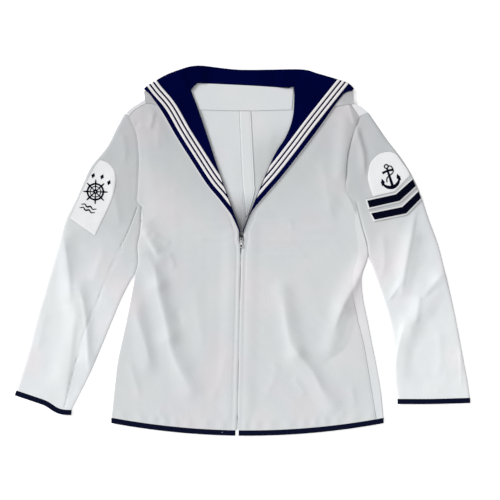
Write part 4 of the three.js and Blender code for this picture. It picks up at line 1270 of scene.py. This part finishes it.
plate_loop = loop_of([(-2.8, -5.5), (2.8, -5.5), (3.4, -2.5), (4, 0.5), (3.9, 3), (3.2, 4.8), (2, 5.5),
                      (-2, 5.5), (-3.2, 4.8), (-3.9, 3), (-4, 0.5), (-3.4, -2.5)])
pin_hole = plate_loop * 0.02
slider_x = zip_x(SLIDER_Y)
top_plate = SLIDER_LOW + PLATE + APART
slider_parts = [plate(at_slider(plate_loop), at_slider(pin_hole), low, low + PLATE)
                for low in (SLIDER_LOW, top_plate)]
slider_parts.append(box((slider_x, SLIDER_Y + 2.75, SLIDER_LOW + 2), (4, 3.85, 3)))
for y in (-2.95, 2.95):
    slider_parts.append(box((slider_x, SLIDER_Y + y, 6.6), (1.6, 1.1, 3)))
slider_parts.append(box((slider_x, SLIDER_Y, 7.85), (1.6, 7, 1.1), 0.85))
# The slider's body takes the teeth's near-black colour, a painted shade for the dark round it deep in the V
piece("zip_slider_metal", slider_parts, TOOTH, ["zip_slider"], sharp=30)

tab = loop_of([(-2.3, 0.65), (2.3, 0.65), (2.7, 0.2), (2.7, -11.6), (2.3, -12.6), (-2.3, -12.6),
               (-2.7, -11.6), (-2.7, 0.2)], 64)
slot = loop_of([(-1.2, -0.65), (1.2, -0.65), (1.2, -4.4), (-1.2, -4.4)], 64)
tab_low, tab_high = HINGE_LEVEL - 0.65, HINGE_LEVEL + 0.65
ring_out, ring_in = (at_slider(circle(radius, (0, -15.4), 0, 351, 40)) for radius in (3.7, 1.9))
tab_parts = [plate(at_slider(tab), at_slider(slot), tab_low, tab_high, 0.3),
             plate(ring_out, ring_in, tab_low, tab_high, 0.3),
             box((slider_x, SLIDER_Y - 8.6, tab_high + 0.1), (2.2, 5.6, 0.5), 0.7)]
piece("zip_pull_metal", tab_parts, METAL, ["zip_pull_tab"], sharp=30, body="pull_tab")


# Embroidery: raised bands of close stitches, in a generic design
def satin(path, widths, over, high=0.7):
    path = np.array(path, float)
    across = np.linspace(-0.5, 0.5, 7)
    reach = np.broadcast_to(np.reshape(widths, (-1, 1, 1)), (len(path), 1, 1)) * across[None, :, None]
    grid = path[:, None] + normals(path)[:, None] * reach
    crown = high * np.sqrt(np.clip(1 - (2 * across)**2, 0, 1))
    ribs = 0.08 * np.sin(np.arange(len(path)) * 2.1)[:, None]
    level = over(grid) + THIN
    return slab(grid, level + 0.1 + crown + ribs * (crown > 0.1), level - 0.3)


def motif(strokes, centre, tilt, side):
    """Strokes drawn about a centre and turned to lie along the sleeve. Each stroke: points, widths."""
    c, s = math.cos(math.radians(tilt)), math.sin(math.radians(tilt))
    turn = np.array([(c, s), (-s, c)])
    over = on_sleeve(side)
    parts = []
    for points, widths in strokes:
        path = along(points, 8 * len(points))
        wide = np.interp(np.linspace(0, 1, len(path)), np.linspace(0, 1, len(widths)), widths)
        parts.append(satin(path @ turn + centre, wide, over))
    return parts


ANCHOR = [
    (circle(3.6, (0, 22)), [2.4, 2.4]),
    ([(0, 19), (0, 5), (0, -18)], [3.6, 4.6, 5.6]),
    ([(-11, 12), (0, 13.5), (11, 12)], [5.0, 3.6, 5.0]),
    (circle(17, (0, -2), 200, 340), [3.6, 6.0, 7.4, 6.0, 3.6]),
    ([(-18.5, -11), (-15.5, -4), (-15.5, 2)], [0.8, 8.0, 0.6]),
    ([(18.5, -11), (15.5, -4), (15.5, 2)], [0.8, 8.0, 0.6]),
    ([(2, 22), (9, 19), (9, 8), (-5, 1), (-8, -7)], [2.2, 2.2]),
]
WHEEL = [(circle(15), [3.4, 3.4]), (circle(10), [1.6, 1.6]), (circle(2.8), [3.6, 3.6])]
for k in range(8):
    a = math.radians(45 * k + 22.5)
    WHEEL.append(([(r * math.cos(a), r * math.sin(a)) for r in (3, 12, 18, 23)], [2.0, 2.0, 3.6, 1.6]))
for a in (58, 90, 122):
    x, y = 31 * math.cos(math.radians(a)), 31 * math.sin(math.radians(a))
    WHEEL.append(([(x, y - 5), (x, y), (x, y + 5)], [0.4, 7.4, 0.4]))
for y in (-31, -38):
    WHEEL.append(([(x, y + 1.6 * math.sin(x / 1.9)) for x in np.linspace(-15, 15, 13)], [1.4, 3.2, 1.4]))
piece("anchor_stitching", motif(ANCHOR, (279.5, 139), 18, "right"), CHEVRON, sharp=80)
piece("wheel_stitching", motif(WHEEL, (-279, 112), -24, "left"), CHEVRON, sharp=80)


# Sewing: rows of small stitches beside the seams and edges
def beside(path, distance, start=0.0, end=1.0):
    return offset(paced(path, np.linspace(start, end, 90)), distance)


def sewn(rows, **looks):
    """Stitches for each row, a path and the level it lies on."""
    return [stitches(path, over, **looks) for path, over in rows]


rows = []
for side, hand in HANDS.items():
    zip_path = zip_edge(side, 6)
    zip_path = zip_path[zip_path[:, 1] < 80]
    start, end = (HEM_LEFT + 4, zip_at_hem - 9) if side == "left" else (zip_at_hem + 9, 250)
    paths = [beside(zip_path, -hand * ZIP_STITCH), beside(arm_line(side, 6), hand * 2.2, 0.03, 0.97)]
    paths += [beside(shoulder_line(side, 60), hand * d, 0.02, 0.8) for d in (2.0, 4.2)]
    rows += [(path, FRONT_OVER[side]) for path in paths + [hem_line(start, end, 120, HEM_TOP + 1.6)]]
    rows.append((beside(along(SLEEVE_EDGES[side][2], 60), -hand * 3.0, 0.06, 0.94), SLEEVE_OVER[side]))
rows += [(beside(along(RIGHT_SIDE_SEAM, 90), -2.2, 0.02, 0.56), FRONT_OVER["right"]),
         (beside(along(LEFT_UNDERARM_SEAM, 90), 2.4, 0.02, 0.98), SLEEVE_OVER["left"]),
         (offset(along(FACING_LOW, 90, 0.03, 0.97), 1.8), facing_over),
         (offset(along(STRIP_LEFT, 90, 0.02, 0.98), 1.6), strip_over),
         (offset(along(STRIP_RIGHT, 90, 0.02, 0.98), -1.6), strip_over)]
for side, (in_rows, out_rows) in BADGES.items():
    hand = HANDS[side]
    foot = paced([in_rows[0], out_rows[0]], np.linspace(0.04, 0.96, 30))
    rows += [(offset(along(in_rows, 90, 0.03, 1), -hand * 1.8), on_sleeve(side, THIN)),
             (offset(foot, hand * -2), on_sleeve(side, THIN))]
knot = np.array([(-38.6, hem_y(-38.4) + 4.2), (-38.2, hem_y(-38.4) + 7.4)])
white_rows = sewn(rows) + sewn([(knot, flat_level(BINDING_WALL * 2 + SEAM - 0.1))], width=0.9)
piece("white_stitches", white_rows, WHITE_THREAD, sharp=80)


def tape_over(p):
    return tape_under(p) + TAPE_THICK - 0.05


rows = [(tape_edge(side, start + d), tape_over)
        for side in HANDS for start in TAPE_STARTS for d in (0.9, TAPE_WIDTH - 0.9)]
tape_rows = sewn(rows, pitch=2.6, length=1.8, width=0.45, high=0.22)
piece("tape_stitches", tape_rows, WHITE_THREAD, sharp=80)

rows = []
for out_rows, in_rows, hand in LAPELS.values():
    rows += [(offset(along(out_rows, 160, 0.04, 0.97), hand * 2.2), collar_top),
             (offset(along(in_rows, 140, 0.12, 0.97), -hand * 2.2), collar_top)]
rows.append((offset(along(NECK_SEAM, 90, 0.06, 0.94), 2.2), collar_top))
for name, (start, end, level, _, _) in HEM_BANDS.items():
    if "front" in name:
        rows.append((hem_line(start + 3, end - 3, 160, 8.2), flat_level(level + BINDING_WALL - 0.45)))
piece("navy_stitches", sewn(rows), NAVY_THREAD, sharp=80)


# Floor, light and camera
FLOOR_GLOW = 0.35
WORLD_GLOW = 0.42
SENSOR = 36


def plain_floor():
    mesh = bpy.data.meshes.new("floor")
    far, low = 4, -0.0006
    corners = [(-far, -far, low), (far, -far, low), (far, far, low), (-far, far, low)]
    mesh.from_pydata(corners, [], [(0, 1, 2, 3)])
    made = material("floor_white", (0.9, 0.9, 0.9), rough=1.0, specular=0.0)
    shader = made.node_tree.nodes["Principled BSDF"]
    shader.inputs["Emission Color"].default_value = (1, 1, 1, 1)
    shader.inputs["Emission Strength"].default_value = FLOOR_GLOW
    mesh.materials.append(made)
    obj = bpy.data.objects.new("floor", mesh)
    bpy.context.scene.collection.objects.link(obj)


def light(name, kind, way, place=(0, 0, 0), **settings):
    """A light that shines along a direction."""
    data = bpy.data.lights.new(name, kind)
    for key, value in settings.items():
        setattr(data, key, value)
    obj = bpy.data.objects.new(name, data)
    obj.location = place
    turn = math.acos(-way[2] / np.linalg.norm(way))
    obj.rotation_euler = (turn, 0, math.atan2(-way[0], way[1]))
    bpy.context.scene.collection.objects.link(obj)


plain_floor()
light("window", "SUN", (0.78, -0.45, -0.5), energy=3.4, angle=math.radians(24))
light("front_fill", "AREA", (-0.3, 2.4, -1.9), place=(0.3, -2.4, 1.9), size=2.2, energy=45)
world = bpy.data.worlds.new("studio")
world.use_nodes = True
world.node_tree.nodes["Background"].inputs["Color"].default_value = (1, 1, 1, 1)
world.node_tree.nodes["Background"].inputs["Strength"].default_value = WORLD_GLOW
bpy.context.scene.world = world
bpy.context.scene.view_settings.view_transform = "Standard"

CAMERA_X, CAMERA_Y, CAMERA_HIGH, FIELD = 0.01425, 0.0015, 2.6, 0.95
camera_data = bpy.data.cameras.new("camera")
camera_data.sensor_width = SENSOR
camera_data.lens = SENSOR * CAMERA_HIGH / FIELD
camera = bpy.data.objects.new("camera", camera_data)
camera.location = (CAMERA_X, CAMERA_Y, CAMERA_HIGH)
bpy.context.scene.collection.objects.link(camera)
bpy.context.scene.camera = camera
